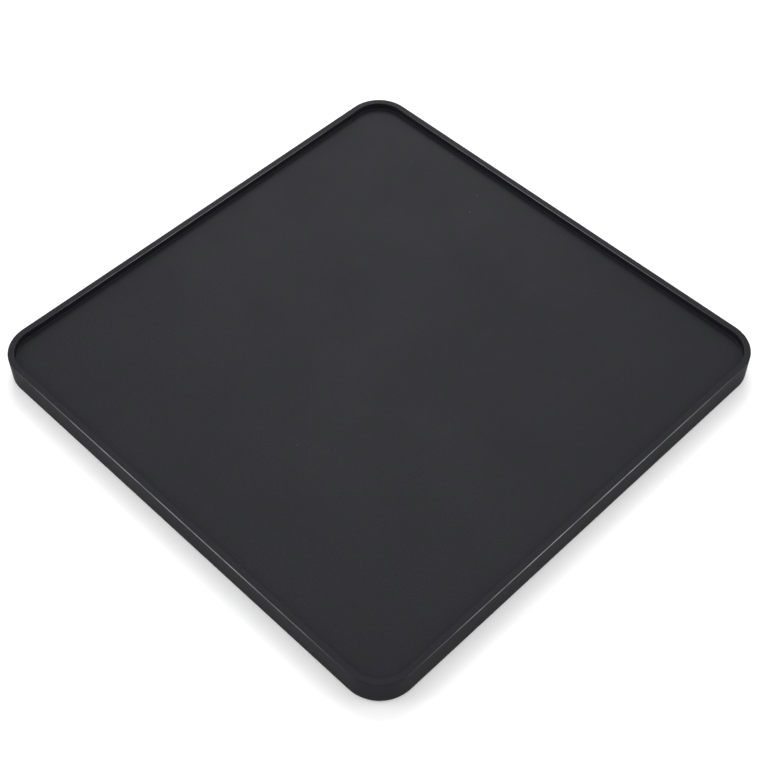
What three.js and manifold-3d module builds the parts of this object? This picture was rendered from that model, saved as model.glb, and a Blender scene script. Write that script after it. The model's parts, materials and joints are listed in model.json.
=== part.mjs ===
// Seedling heat mat: a square, low-voltage warming tray for seed trays and pots.
// A moulded tray with a raised rim holds an aluminium heat spreader, a heating wire laid to and fro under
// it, an insulation board and a bimetal thermostat. A cover plate, screwed on from below against a silicone
// gasket, closes it. It stands on four rubber feet, and its lead plugs into a socket in the rear wall.
//
// Millimetres. +X is right, +Y is the rear, +Z is up. The origin is on the surface that the mat stands on,
// under its middle. Heights below are counted from the lower edge of the wall, and the whole mat is then
// lifted by the part of the feet that stands proud.

import * as THREE from "three";
import { mergeVertices } from "three/addons/utils/BufferGeometryUtils.js";
import Module from "manifold-3d";

const wasm = await Module();
wasm.setup();

// ---- driving dimensions ----
const SIDE = 400; // outside of the square body
const WALL_HEIGHT = 21.2; // lower edge of the wall to the top of the rim
const RIM_WIDTH = 5;
const RIM_DEPTH = 5.7; // top of the rim down to the heated floor
const CORNER_RADIUS = 28;
const ARRIS = 0.6; // small bevel along the edges of the rim
const FLOOR_THICKNESS = 2.5;
const COVER_THICKNESS = 2.5;
const FOOT_PROUD = 1.2; // how far the feet stand below the cover
const CLEARANCE = 0.3; // between pieces that touch
const CORNER_STEPS = 8; // facets round each corner of the body

// ---- heights, from the lower edge of the wall ----
const FLOOR_TOP = WALL_HEIGHT - RIM_DEPTH;
const FLOOR_UNDERSIDE = FLOOR_TOP - FLOOR_THICKNESS;
const SPREADER = { top: FLOOR_UNDERSIDE - CLEARANCE, thickness: 0.8, side: 340, cornerRadius: 6 };
const SPREADER_UNDERSIDE = SPREADER.top - SPREADER.thickness;
const WIRE_RADIUS = 1;
const WIRE_HEIGHT = SPREADER_UNDERSIDE - 0.2 - WIRE_RADIUS;
const FOIL = { top: WIRE_HEIGHT - WIRE_RADIUS - CLEARANCE, thickness: 0.3 };
const RIB_TOP = 4.3; // screw wells and foot pads inside the cover
const RIB_STEP = 0.3; // the ribs stand a step lower than the wells, and those along Y a step lower still
const BOSS_BOTTOM = RIB_TOP + CLEARANCE;
const BOARD = { bottom: RIB_TOP + 0.4, thickness: 4.2 };

// ---- plan of the fasteners and the feet ----
const SCREW_SPACING = 178;
const FOOT_SPACING = 155;
const BOSS_RADIUS = 4.5;
const SCREW = { shank: 1.5, head: 3.4, headHeight: 1.9, headBottom: 0.3, tip: 11.5 };
const SMALL_SCREW = { shank: 1, head: 2.2, headHeight: 1.3 };
const FOOT = { radius: 8, top: 1.7, chamfer: 0.6 };

// ---- heating wire, thermostat, socket and terminal block ----
const RUN_SPACING = 20;
const RUNS = 16;
const RUN_FRONT = -150; // where the straight runs end
const RUN_REAR = 98;
const BAY_FRONT = 112; // the electrical bay lies behind this line
const THERMOSTAT = { x: -60, y: 140, length: 26, width: 13, bottom: 4.3, flangeTop: 6, wall: 0.6 };
const STRAP_SPACING = 12; // strap screws in front of and behind the thermostat
const ARM = { hinge: -9, left: -10.5, right: 9, width: 4, bottom: 9.2, thickness: 0.4 };
const CONTACT = { x: 7, radius: 1.5 };
const STRIP = { bottom: 7.1, thickness: 0.6, width: 4, reach: 19 };
const JACK = { x: 140, height: 8, bush: 3.6, bore: 2.95, flange: 5, face: SIDE / 2 - 0.2 };
const BLOCK = { x: 105, y: 181, length: 21, width: 19, bottom: 4, top: 11.2, pitch: 10, bore: 2.4 };
const POLE_HEIGHT = (BLOCK.bottom + BLOCK.top) / 2;
const CLAMP_OFFSET = 5.5; // clamping screws either side of the block's middle
const FUSE = { x: 10, y: 140, height: 8.6, radius: 2, length: 11, leadRadius: 0.5, leadEnd: 12 };
const SPLICE = { front: 126, length: 12, bore: 1.35, radius: 2.2, height: 8.6 };
const LEAD_RADIUS = 0.9;

// ---- finishes ----
const finish = (color, roughness, metalness = 0) =>
  new THREE.MeshStandardMaterial({ color, roughness, metalness });
const MOULDED_BLACK = finish(0x353538, 0.75);
const COVER_BLACK = finish(0x2e2e31, 0.75);
const RUBBER = finish(0x1f1f20, 0.9);
const SILICONE = finish(0x8c3a2e, 0.7);
const ALUMINIUM = finish(0xc9cbcd, 0.4, 1);
const FOIL_SILVER = finish(0xd6d8da, 0.3, 1);
const FOAM = finish(0xe6e2d8, 0.95);
const STEEL = finish(0xb4b6b8, 0.35, 1);
const BRASS = finish(0xc2a05a, 0.35, 1);
const PHENOLIC = finish(0x3a2a22, 0.6);
const NYLON = finish(0xdedbd0, 0.55);
const RED_LEAD = finish(0xa3231f, 0.6);
const BLACK_LEAD = finish(0x1b1b1d, 0.6);
const SLEEVE = finish(0xd9cfb6, 0.8);

const mat = new THREE.Group();
mat.position.z = FOOT_PROUD;

// Adds one named piece to the mat.
function add(name, geometry, material, x = 0, y = 0, z = 0) {
  const piece = new THREE.Mesh(geometry, material);
  piece.name = name;
  piece.position.set(x, y, z);
  mat.add(piece);
}

// ---- solids ----

// Turns a closed geometry into a solid that can be joined and cut.
function solid(geometry) {
  const bare = geometry.clone();
  bare.deleteAttribute("normal");
  bare.deleteAttribute("uv");
  const merged = mergeVertices(bare);
  const corners = merged.index.array;
  const kept = [];
  for (let i = 0; i < corners.length; i += 3) {
    const [a, b, c] = corners.subarray(i, i + 3);
    if (a !== b && b !== c && c !== a) kept.push(a, b, c);
  }
  const vertProperties = new Float32Array(merged.getAttribute("position").array);
  return new wasm.Manifold(new wasm.Mesh({ numProp: 3, vertProperties, triVerts: new Uint32Array(kept) }));
}

// Gives a solid back as a geometry.
function geometryOf(body) {
  const mesh = body.getMesh();
  const geometry = new THREE.BufferGeometry();
  geometry.setAttribute("position", new THREE.BufferAttribute(mesh.vertProperties, 3));
  geometry.setIndex(new THREE.BufferAttribute(mesh.triVerts, 1));
  geometry.computeVertexNormals();
  return geometry;
}

const join = (body, ...others) => others.reduce((whole, other) => whole.add(solid(other)), body);
const cut = (body, ...others) => others.reduce((whole, other) => whole.subtract(solid(other)), body);

// An outline with rounded corners, centred on (x, y).
function roundedOutline(width, depth, radius, x = 0, y = 0) {
  const right = width / 2 - radius;
  const back = depth / 2 - radius;
  const outline = new THREE.Shape();
  outline.absarc(x + right, y - back, radius, -Math.PI / 2, 0);
  outline.absarc(x + right, y + back, radius, 0, Math.PI / 2);
  outline.absarc(x - right, y + back, radius, Math.PI / 2, Math.PI);
  outline.absarc(x - right, y - back, radius, Math.PI, 1.5 * Math.PI);
  outline.closePath();
  return outline;
}

// An outline raised between two heights.
function slab(outline, bottom, top, curveSegments = CORNER_STEPS) {
  const geometry = new THREE.ExtrudeGeometry(outline, {
    depth: top - bottom,
    bevelEnabled: false,
    curveSegments,
  });
  return geometry.translate(0, 0, bottom);
}

// A slab whose outline grows by the bevel between its end faces and its middle.
function bevelledSlab(outline, bottom, top, bevel, offset = 0) {
  const geometry = new THREE.ExtrudeGeometry(outline, {
    depth: top - bottom - 2 * bevel,
    bevelThickness: bevel,
    bevelSize: bevel,
    bevelOffset: offset,
    bevelSegments: 1,
    curveSegments: CORNER_STEPS,
  });
  return geometry.translate(0, 0, bottom + bevel);
}

// An upright cylinder between two heights.
function post(radius, bottom, top, x = 0, y = 0, sides = 14) {
  const geometry = new THREE.CylinderGeometry(radius, radius, top - bottom, sides);
  return geometry.rotateX(Math.PI / 2).translate(x, y, (top + bottom) / 2);
}

// A cylinder along Y between two places.
function barrel(radius, front, back, x, z, sides = 24) {
  const geometry = new THREE.CylinderGeometry(radius, radius, back - front, sides);
  return geometry.translate(x, (front + back) / 2, z);
}

// A cylinder along X between two places.
function rod(radius, left, right, y, z, sides = 16) {
  const geometry = new THREE.CylinderGeometry(radius, radius, right - left, sides);
  return geometry.rotateZ(Math.PI / 2).translate((left + right) / 2, y, z);
}

// A block from its lowest and highest corners.
function block(x0, x1, y0, y1, z0, z1) {
  return new THREE.BoxGeometry(x1 - x0, y1 - y0, z1 - z0).translate(
    (x0 + x1) / 2,
    (y0 + y1) / 2,
    (z0 + z1) / 2,
  );
}

// A turned piece about Y from [radius, y] points. It closes on the axis or on itself.
function turned(points, sides = 24) {
  return new THREE.LatheGeometry(
    points.map(([radius, y]) => new THREE.Vector2(radius, y)),
    sides,
  );
}

// A turned piece with its axis upright, from [radius, height] points.
const turnedUpright = (points, sides) => turned(points, sides).rotateX(Math.PI / 2);

// A route whose sections stand at its own points, close together only where it bends.
class Route extends THREE.Curve {
  constructor(points) {
    super();
    this.points = points;
  }

  getUtoTmapping(u) {
    return u;
  }

  getPoint(t, target = new THREE.Vector3()) {
    const place = t * (this.points.length - 1);
    const start = Math.min(Math.floor(place), this.points.length - 2);
    return target.lerpVectors(this.points[start], this.points[start + 1], place - start);
  }
}

// A round wire along a curve.
function wire(curve, radius, steps, sides = 8) {
  const section = new THREE.Shape();
  for (let side = 0; side < sides; side += 1) {
    const angle = (2 * Math.PI * side) / sides;
    const corner = [radius * Math.cos(angle), radius * Math.sin(angle)];
    if (side === 0) section.moveTo(...corner);
    else section.lineTo(...corner);
  }
  section.closePath();
  return new THREE.ExtrudeGeometry(section, { steps, extrudePath: curve });
}

// ---- places of what repeats ----
const ROWS = [
  ["front", -1],
  ["middle", 0],
  ["rear", 1],
];
const COLUMNS = [
  ["left", -1],
  ["centre", 0],
  ["right", 1],
];
const screwPlaces = ROWS.flatMap(([row, j]) =>
  COLUMNS.map(([column, i]) => ({
    name: `${row}_${column}`,
    i,
    j,
    x: i * SCREW_SPACING,
    y: j * SCREW_SPACING,
  })),
);
const footPlaces = screwPlaces
  .filter(({ i, j }) => i !== 0 && j !== 0)
  .map(({ name, i, j }) => ({ name, x: i * FOOT_SPACING, y: j * FOOT_SPACING }));
const strapPlaces = [
  { name: "front", x: THERMOSTAT.x, y: THERMOSTAT.y - STRAP_SPACING },
  { name: "rear", x: THERMOSTAT.x, y: THERMOSTAT.y + STRAP_SPACING },
];
const STRAP_BOSS = { radius: 3, bottom: 7.3, pilot: 1.3 };
const BLOCK_BOSS = { radius: 3.5, bottom: BLOCK.top + CLEARANCE, pilot: 1.4, pilotTop: 14.3 };
const JACK_RECESS_FLOOR = SIDE / 2 - 2.2;
const WALL_INSIDE = SIDE / 2 - RIM_WIDTH;
const REBATE = { depth: 4.2, wall: 3 }; // the wall is thinner round the cover

// ---- top tray ----
function topTray() {
  const inside = SIDE - 2 * RIM_WIDTH;
  const insideRadius = CORNER_RADIUS - RIM_WIDTH;
  const insideOutline = roundedOutline(inside, inside, insideRadius);
  const rebateSide = SIDE - 2 * REBATE.wall;
  const rebate = roundedOutline(rebateSide, rebateSide, CORNER_RADIUS - REBATE.wall);
  let tray = solid(bevelledSlab(roundedOutline(SIDE, SIDE, CORNER_RADIUS), 0, WALL_HEIGHT, ARRIS, -ARRIS));
  tray = cut(
    tray,
    slab(insideOutline, FLOOR_TOP, WALL_HEIGHT + 1),
    bevelledSlab(insideOutline, WALL_HEIGHT - ARRIS, WALL_HEIGHT + 2 + ARRIS, ARRIS),
    slab(insideOutline, -1, FLOOR_UNDERSIDE),
    slab(rebate, -1, REBATE.depth),
  );

  // bosses for the cover's screws, with webs to the wall
  const root = FLOOR_UNDERSIDE + 0.5;
  const webBottom = 7;
  const webHalf = 0.8;
  for (const { x, y, i, j } of screwPlaces) {
    tray = join(tray, post(BOSS_RADIUS, BOSS_BOTTOM, root, x, y));
    const wallX = i * (WALL_INSIDE + 1);
    const wallY = j * (WALL_INSIDE + 1);
    if (i !== 0) {
      const [left, right] = [Math.min(x, wallX), Math.max(x, wallX)];
      tray = join(tray, block(left, right, y - webHalf, y + webHalf, webBottom, root));
    }
    if (j !== 0) {
      const [front, rear] = [Math.min(y, wallY), Math.max(y, wallY)];
      tray = join(tray, block(x - webHalf, x + webHalf, front, rear, webBottom, root));
    }
  }

  // small bosses for the thermostat's strap and the terminal block
  for (const { x, y } of strapPlaces) {
    tray = join(tray, post(STRAP_BOSS.radius, STRAP_BOSS.bottom, root, x, y, 16));
  }
  tray = join(tray, post(BLOCK_BOSS.radius, BLOCK_BOSS.bottom, root, BLOCK.x, BLOCK.y, 16));

  // low ribs that keep the heat spreader in its place
  const ribNear = SPREADER.side / 2 + 1;
  const ribFar = ribNear + 1.6;
  const ribHalf = 45;
  const ribBottom = SPREADER.top - SPREADER.thickness;
  tray = join(
    tray,
    block(ribNear, ribFar, -ribHalf, ribHalf, ribBottom, root),
    block(-ribFar, -ribNear, -ribHalf, ribHalf, ribBottom, root),
    block(-ribHalf, ribHalf, ribNear, ribFar, ribBottom, root),
    block(-ribHalf, ribHalf, -ribFar, -ribNear, ribBottom, root),
  );

  // pilot holes for all the screws, and the opening for the socket
  for (const { x, y } of screwPlaces) {
    tray = cut(tray, post(SCREW.shank + CLEARANCE, BOSS_BOTTOM - 1, SCREW.tip + 0.8, x, y, 10));
  }
  for (const { x, y } of strapPlaces) {
    tray = cut(tray, post(STRAP_BOSS.pilot, STRAP_BOSS.bottom - 1, 12, x, y, 12));
  }
  return cut(
    tray,
    post(BLOCK_BOSS.pilot, BLOCK_BOSS.bottom - 1, BLOCK_BOSS.pilotTop, BLOCK.x, BLOCK.y, 12),
    barrel(JACK.flange + 0.4, JACK_RECESS_FLOOR, SIDE / 2 + 1, JACK.x, JACK.height, 32),
    barrel(JACK.bush + CLEARANCE, WALL_INSIDE - 1, SIDE / 2, JACK.x, JACK.height, 24),
  );
}
add("top_tray", geometryOf(topTray()), MOULDED_BLACK);

// ---- base cover ----
const COVER_GAP = 0.4;
const WELL_RADIUS = 5.5;
const WELL = { radius: 3.8, depth: 2.4 };
const FOOT_PAD_RADIUS = 10;
const LABEL_PANEL = { width: 80, depth: 45, y: -88, sunk: 0.4 };

function baseCover() {
  const side = SIDE - 2 * (REBATE.wall + COVER_GAP);
  const radius = CORNER_RADIUS - REBATE.wall - COVER_GAP;
  let cover = solid(slab(roundedOutline(side, side, radius), 0, COVER_THICKNESS));
  const root = COVER_THICKNESS - 0.5;
  for (const { x, y } of screwPlaces) cover = join(cover, post(WELL_RADIUS, root, RIB_TOP, x, y));
  for (const { x, y } of footPlaces) cover = join(cover, post(FOOT_PAD_RADIUS, root, RIB_TOP, x, y, 18));

  // ribs under the insulation board
  const half = 0.9;
  const reach = 165;
  const spacing = 59;
  const rear = BAY_FRONT - 2;
  for (const y of [-2 * spacing, -spacing, 0, spacing]) {
    cover = join(cover, block(-reach, reach, y - half, y + half, root, RIB_TOP - RIB_STEP));
  }
  for (const x of [-2 * spacing, -spacing, 0, spacing, 2 * spacing]) {
    cover = join(cover, block(x - half, x + half, -reach, rear, root, RIB_TOP - 2 * RIB_STEP));
  }

  for (const { x, y } of screwPlaces) {
    cover = cut(cover, post(WELL.radius, -1, WELL.depth, x, y, 16));
    cover = cut(cover, post(SCREW.shank + CLEARANCE, 0, RIB_TOP + 1, x, y, 10));
  }
  for (const { x, y } of footPlaces) {
    cover = cut(cover, post(FOOT.radius + CLEARANCE, -1, FOOT.top + CLEARANCE, x, y, 24));
  }
  const panel = roundedOutline(LABEL_PANEL.width, LABEL_PANEL.depth, 4, 0, LABEL_PANEL.y);
  return cut(cover, slab(panel, -1, LABEL_PANEL.sunk, 6));
}
add("base_cover", geometryOf(baseCover()), COVER_BLACK);

// ---- gasket between the cover and the ledge of the tray ----
function perimeterGasket() {
  const outside = SIDE - 2 * (REBATE.wall + CLEARANCE);
  const ring = roundedOutline(outside, outside, CORNER_RADIUS - REBATE.wall - CLEARANCE);
  const width = 1.4;
  const inside = outside - 2 * width;
  ring.holes.push(roundedOutline(inside, inside, CORNER_RADIUS - REBATE.wall - CLEARANCE - width));
  return slab(ring, COVER_THICKNESS + 0.15, REBATE.depth - 0.15, 8);
}
add("perimeter_gasket", perimeterGasket(), SILICONE);

// ---- screws and feet ----
function screw({ shank, head, headHeight }, length) {
  const profile = [
    [0, 0],
    [head * 0.85, 0],
    [head, headHeight * 0.3],
    [head, headHeight],
    [shank, headHeight],
    [shank, headHeight + length - shank],
    [0, headHeight + length],
  ];
  const headDown = profile.reverse().map(([radius, height]) => [radius, -height]);
  return turnedUpright(headDown, 12).rotateX(Math.PI);
}
const baseScrew = screw(SCREW, SCREW.tip - SCREW.headBottom - SCREW.headHeight);
for (const { name, x, y } of screwPlaces) {
  add(`base_screw_${name}`, baseScrew, STEEL, x, y, SCREW.headBottom);
}

const foot = turnedUpright(
  [
    [0, -FOOT.top],
    [FOOT.radius, -FOOT.top],
    [FOOT.radius, FOOT_PROUD - FOOT.chamfer],
    [FOOT.radius - FOOT.chamfer, FOOT_PROUD],
    [0, FOOT_PROUD],
  ],
  22,
).rotateX(Math.PI);
for (const { name, x, y } of footPlaces) add(`foot_${name}`, foot, RUBBER, x, y);

// ---- heat spreader, foil and insulation, each with a hole for the middle boss ----
const middleHole = () => new THREE.Path().absarc(0, 0, BOSS_RADIUS + 1, 0, 2 * Math.PI, true);

function heatSpreader() {
  const plate = roundedOutline(SPREADER.side, SPREADER.side, SPREADER.cornerRadius);
  plate.holes.push(middleHole());
  for (const { x, y } of strapPlaces) {
    plate.holes.push(new THREE.Path().absarc(x, y, STRAP_BOSS.radius + 1, 0, 2 * Math.PI, true));
  }
  return slab(plate, SPREADER_UNDERSIDE, SPREADER.top, 10);
}
add("heat_spreader", heatSpreader(), ALUMINIUM);

function wireFoil() {
  const front = RUN_FRONT - 14;
  const back = BAY_FRONT - 1;
  const sheet = roundedOutline(320, back - front, 3, 0, (front + back) / 2);
  sheet.holes.push(middleHole());
  return slab(sheet, FOIL.top - FOIL.thickness, FOIL.top, 8);
}
add("wire_foil", wireFoil(), FOIL_SILVER);

function insulationBoard() {
  const half = 168;
  const board = roundedOutline(2 * half, half + BAY_FRONT, 3, 0, (BAY_FRONT - half) / 2);
  board.holes.push(middleHole());
  return slab(board, BOARD.bottom, BOARD.bottom + BOARD.thickness, 8);
}
add("insulation_board", insulationBoard(), FOAM);

// ---- heating wire: straight runs joined by half-round bends, both ends at the rear ----
function heatingRoute() {
  const points = [];
  const edge = ((RUNS - 1) * RUN_SPACING) / 2;
  const end = SPLICE.front + 4;
  const drop = WIRE_HEIGHT - SPLICE.height;
  const dip = [
    [end, 1],
    [122, 1],
    [119, 0.8],
    [116, 0.2],
    [113, 0],
  ];
  const dipAt = (x) => ([y, share]) => new THREE.Vector3(x, y, WIRE_HEIGHT - share * drop);
  points.push(...dip.map(dipAt(-edge)));
  const bend = RUN_SPACING / 2;
  const bendSteps = 6;
  for (let run = 0; run < RUNS - 1; run += 1) {
    const atFront = run % 2 === 0;
    const centre = -edge + (run + 0.5) * RUN_SPACING;
    const line = atFront ? RUN_FRONT : RUN_REAR;
    for (let step = 0; step <= bendSteps; step += 1) {
      const angle = (Math.PI * step) / bendSteps;
      const out = bend * Math.sin(angle) * (atFront ? -1 : 1);
      points.push(new THREE.Vector3(centre - bend * Math.cos(angle), line + out, WIRE_HEIGHT));
    }
  }
  points.push(...dip.reverse().map(dipAt(edge)));
  return points;
}
const heatingPoints = heatingRoute();
add("heating_wire", wire(new Route(heatingPoints), WIRE_RADIUS, heatingPoints.length - 1), SILICONE);

// ---- thermostat: base, cap, two terminal strips, sprung arm with its contact, strap and screws ----
const halfLength = THERMOSTAT.length / 2;
const halfWidth = THERMOSTAT.width / 2;
const { x: TX, y: TY } = THERMOSTAT;
const stripTop = STRIP.bottom + STRIP.thickness;
const plugTop = STRIP.bottom - CLEARANCE;

function thermostatBase() {
  const inset = THERMOSTAT.wall + CLEARANCE;
  const { bottom, flangeTop } = THERMOSTAT;
  const flange = block(-halfLength, halfLength, -halfWidth, halfWidth, bottom, flangeTop);
  const [plugX, plugY] = [halfLength - inset, halfWidth - inset];
  const plug = block(-plugX, plugX, -plugY, plugY, flangeTop - 1, plugTop);
  return join(solid(flange), plug);
}
add("thermostat_base", geometryOf(thermostatBase()), PHENOLIC, TX, TY);

function thermostatCap() {
  const bottom = THERMOSTAT.flangeTop + CLEARANCE;
  const top = SPREADER_UNDERSIDE - 0.2;
  const wall = THERMOSTAT.wall;
  const notch = STRIP.width / 2 + 0.5;
  const outer = roundedOutline(THERMOSTAT.length, THERMOSTAT.width, 1.5);
  const inner = roundedOutline(THERMOSTAT.length - 2 * wall, THERMOSTAT.width - 2 * wall, 0.9);
  return cut(
    solid(slab(outer, bottom, top, 4)),
    slab(inner, bottom - 1, top - wall, 4),
    block(-halfLength - 1, halfLength + 1, -notch, notch, bottom - 1, stripTop + 0.4),
  );
}
add("thermostat_cap", geometryOf(thermostatCap()), ALUMINIUM, TX, TY);

const stripHalf = STRIP.width / 2;
function armTerminal() {
  const strip = block(-STRIP.reach, -6, -stripHalf, stripHalf, STRIP.bottom, stripTop);
  const pillar = block(ARM.left, -7.5, -1.5, 1.5, stripTop - 0.3, ARM.bottom - 0.25);
  return join(solid(strip), pillar);
}
add("thermostat_arm_terminal", geometryOf(armTerminal()), BRASS, TX, TY);

function fixedTerminal() {
  const strip = block(4, STRIP.reach, -stripHalf, stripHalf, STRIP.bottom, stripTop);
  return join(solid(strip), post(CONTACT.radius, stripTop - 0.3, stripTop + 0.6, CONTACT.x, 0, 16));
}
add("thermostat_fixed_terminal", geometryOf(fixedTerminal()), BRASS, TX, TY);

const armHalf = ARM.width / 2;
const armTop = ARM.bottom + ARM.thickness;
add("bimetal_arm", block(ARM.left, ARM.right, -armHalf, armHalf, ARM.bottom, armTop), STEEL, TX, TY);
const movingContact = post(CONTACT.radius, stripTop + 0.7, ARM.bottom - 0.02, CONTACT.x, 0, 16);
add("moving_contact", movingContact, BRASS, TX, TY);

// The strap passes under the base and steps up to the two bosses.
function thermostatStrap() {
  const low = 3.2;
  const high = 6.2;
  const thickness = 0.8;
  const step = halfWidth + CLEARANCE;
  const end = 16;
  const path = new THREE.Shape();
  path.moveTo(-end, high);
  path.lineTo(-step - thickness, high);
  path.lineTo(-step - thickness, low);
  path.lineTo(step + thickness, low);
  path.lineTo(step + thickness, high);
  path.lineTo(end, high);
  path.lineTo(end, high + thickness);
  path.lineTo(step, high + thickness);
  path.lineTo(step, low + thickness);
  path.lineTo(-step, low + thickness);
  path.lineTo(-step, high + thickness);
  path.lineTo(-end, high + thickness);
  path.closePath();
  const width = 8;
  const strip = new THREE.ExtrudeGeometry(path, { depth: width, bevelEnabled: false });
  const across = new THREE.Matrix4().makeBasis(
    new THREE.Vector3(0, 1, 0),
    new THREE.Vector3(0, 0, 1),
    new THREE.Vector3(1, 0, 0),
  );
  strip.applyMatrix4(across).translate(-width / 2, 0, 0);
  const hole = SMALL_SCREW.shank + CLEARANCE;
  return cut(
    solid(strip),
    post(hole, high - 1, high + 2, 0, -STRAP_SPACING, 12),
    post(hole, high - 1, high + 2, 0, STRAP_SPACING, 12),
  );
}
add("thermostat_strap", geometryOf(thermostatStrap()), STEEL, TX, TY);

const strapScrew = screw(SMALL_SCREW, 5.4);
for (const { name, x, y } of strapPlaces) add(`strap_screw_${name}`, strapScrew, STEEL, x, y, 4.6);

// ---- thermal fuse in its sleeve ----
function thermalFuse() {
  const { radius, length, leadRadius, leadEnd } = FUSE;
  const half = length / 2;
  const profile = [
    [0, -leadEnd],
    [leadRadius, -leadEnd],
    [leadRadius, -half - 0.6],
    [radius, -half],
    [radius, half],
    [leadRadius, half + 0.6],
    [leadRadius, leadEnd],
    [0, leadEnd],
  ];
  return turned(profile, 16).rotateZ(-Math.PI / 2);
}
add("thermal_fuse", thermalFuse(), STEEL, FUSE.x, FUSE.y, FUSE.height);

function sleeve(bore, radius, length, sides) {
  const half = length / 2;
  return turned(
    [
      [bore, -half],
      [radius, -half],
      [radius, half],
      [bore, half],
      [bore, -half],
    ],
    sides,
  );
}
add("fuse_sleeve", sleeve(2.4, 3, 30, 16).rotateZ(-Math.PI / 2), SLEEVE, FUSE.x, FUSE.y, FUSE.height);

// ---- terminal block with two poles, each a brass tube with two clamping screws ----
const poles = [
  { name: "front", offset: -BLOCK.pitch / 2 },
  { name: "rear", offset: BLOCK.pitch / 2 },
];
const clampSides = [
  { name: "left", offset: -CLAMP_OFFSET },
  { name: "right", offset: CLAMP_OFFSET },
];

function terminalBlock() {
  const halfX = BLOCK.length / 2;
  const outline = roundedOutline(BLOCK.length, BLOCK.width, 1.5);
  let body = solid(slab(outline, BLOCK.bottom, BLOCK.top, 4));
  for (const pole of poles) {
    body = cut(body, rod(BLOCK.bore, -halfX - 1, halfX + 1, pole.offset, POLE_HEIGHT));
    for (const clamp of clampSides) {
      body = cut(body, post(1.8, BLOCK.bottom - 1, POLE_HEIGHT, clamp.offset, pole.offset, 12));
    }
  }
  return cut(body, post(1.5, BLOCK.bottom - 1, BLOCK.top + 1, 0, 0, 12));
}
add("terminal_block", geometryOf(terminalBlock()), NYLON, BLOCK.x, BLOCK.y);

function insert() {
  const half = 8;
  let tube = solid(rod(2.1, -half, half, 0, 0));
  tube = cut(tube, rod(1.3, -half - 1, half + 1, 0, 0));
  for (const clamp of clampSides) tube = cut(tube, post(1.4, -3, 0, clamp.offset, 0, 12));
  return geometryOf(tube);
}
const poleInsert = insert();
const clampScrew = screw({ shank: 1, head: 1.4, headHeight: 1 }, 1.2);
for (const pole of poles) {
  add(`terminal_insert_${pole.name}`, poleInsert, BRASS, BLOCK.x, BLOCK.y + pole.offset, POLE_HEIGHT);
  for (const clamp of clampSides) {
    const name = `clamp_screw_${pole.name}_${clamp.name}`;
    add(name, clampScrew, STEEL, BLOCK.x + clamp.offset, BLOCK.y + pole.offset, BLOCK.bottom + 0.2);
  }
}
const blockScrew = screw({ shank: 1.1, head: 2.2, headHeight: 0.9 }, 9.8);
add("terminal_block_screw", blockScrew, STEEL, BLOCK.x, BLOCK.y, BLOCK.bottom - 0.1 - 0.9);

// ---- low-voltage socket in the rear wall, held from inside by a ring nut ----
const JACK_BACK = 183;
const FLANGE_INSIDE = JACK.face - 1.2;
const jackBody = turned([
  [1.35, JACK_BACK],
  [3.3, JACK_BACK],
  [3.3, 190.5],
  [JACK.bush, 190.8],
  [JACK.bush, FLANGE_INSIDE],
  [JACK.flange, FLANGE_INSIDE],
  [JACK.flange, JACK.face - 0.3],
  [JACK.flange - 0.3, JACK.face],
  [JACK.bore + 0.3, JACK.face],
  [JACK.bore, JACK.face - 0.3],
  [JACK.bore, 190],
  [1.35, 190],
  [1.35, JACK_BACK],
]);
add("jack_body", jackBody, BLACK_LEAD, JACK.x, 0, JACK.height);
const jackPin = turned(
  [
    [0, 180.5],
    [1.05, 180.5],
    [1.05, 197.9],
    [0.6, 198.4],
    [0, 198.4],
  ],
  16,
);
add("jack_pin", jackPin, BRASS, JACK.x, 0, JACK.height);
const jackSeal = sleeve(JACK.bush + CLEARANCE, JACK.flange - 0.1, 0.55, 24);
add("jack_seal", jackSeal, RUBBER, JACK.x, (JACK_RECESS_FLOOR + FLANGE_INSIDE) / 2, JACK.height);
const jackNut = sleeve(JACK.bush + CLEARANCE, 4.8, 2.1, 24);
add("jack_ring_nut", jackNut, STEEL, JACK.x, WALL_INSIDE - 1.35, JACK.height);
const tab = block(-0.9, 0.9, 0, 3, -0.25, 0.25);
const TABS = { positive: { x: 0, y: 177.2, z: 0 }, negative: { x: 2.3, y: 179.7, z: -1.2 } };
for (const [pole, { x, y, z }] of Object.entries(TABS)) {
  add(`jack_tab_${pole}`, tab, BRASS, JACK.x + x, y, JACK.height + z);
}

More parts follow.
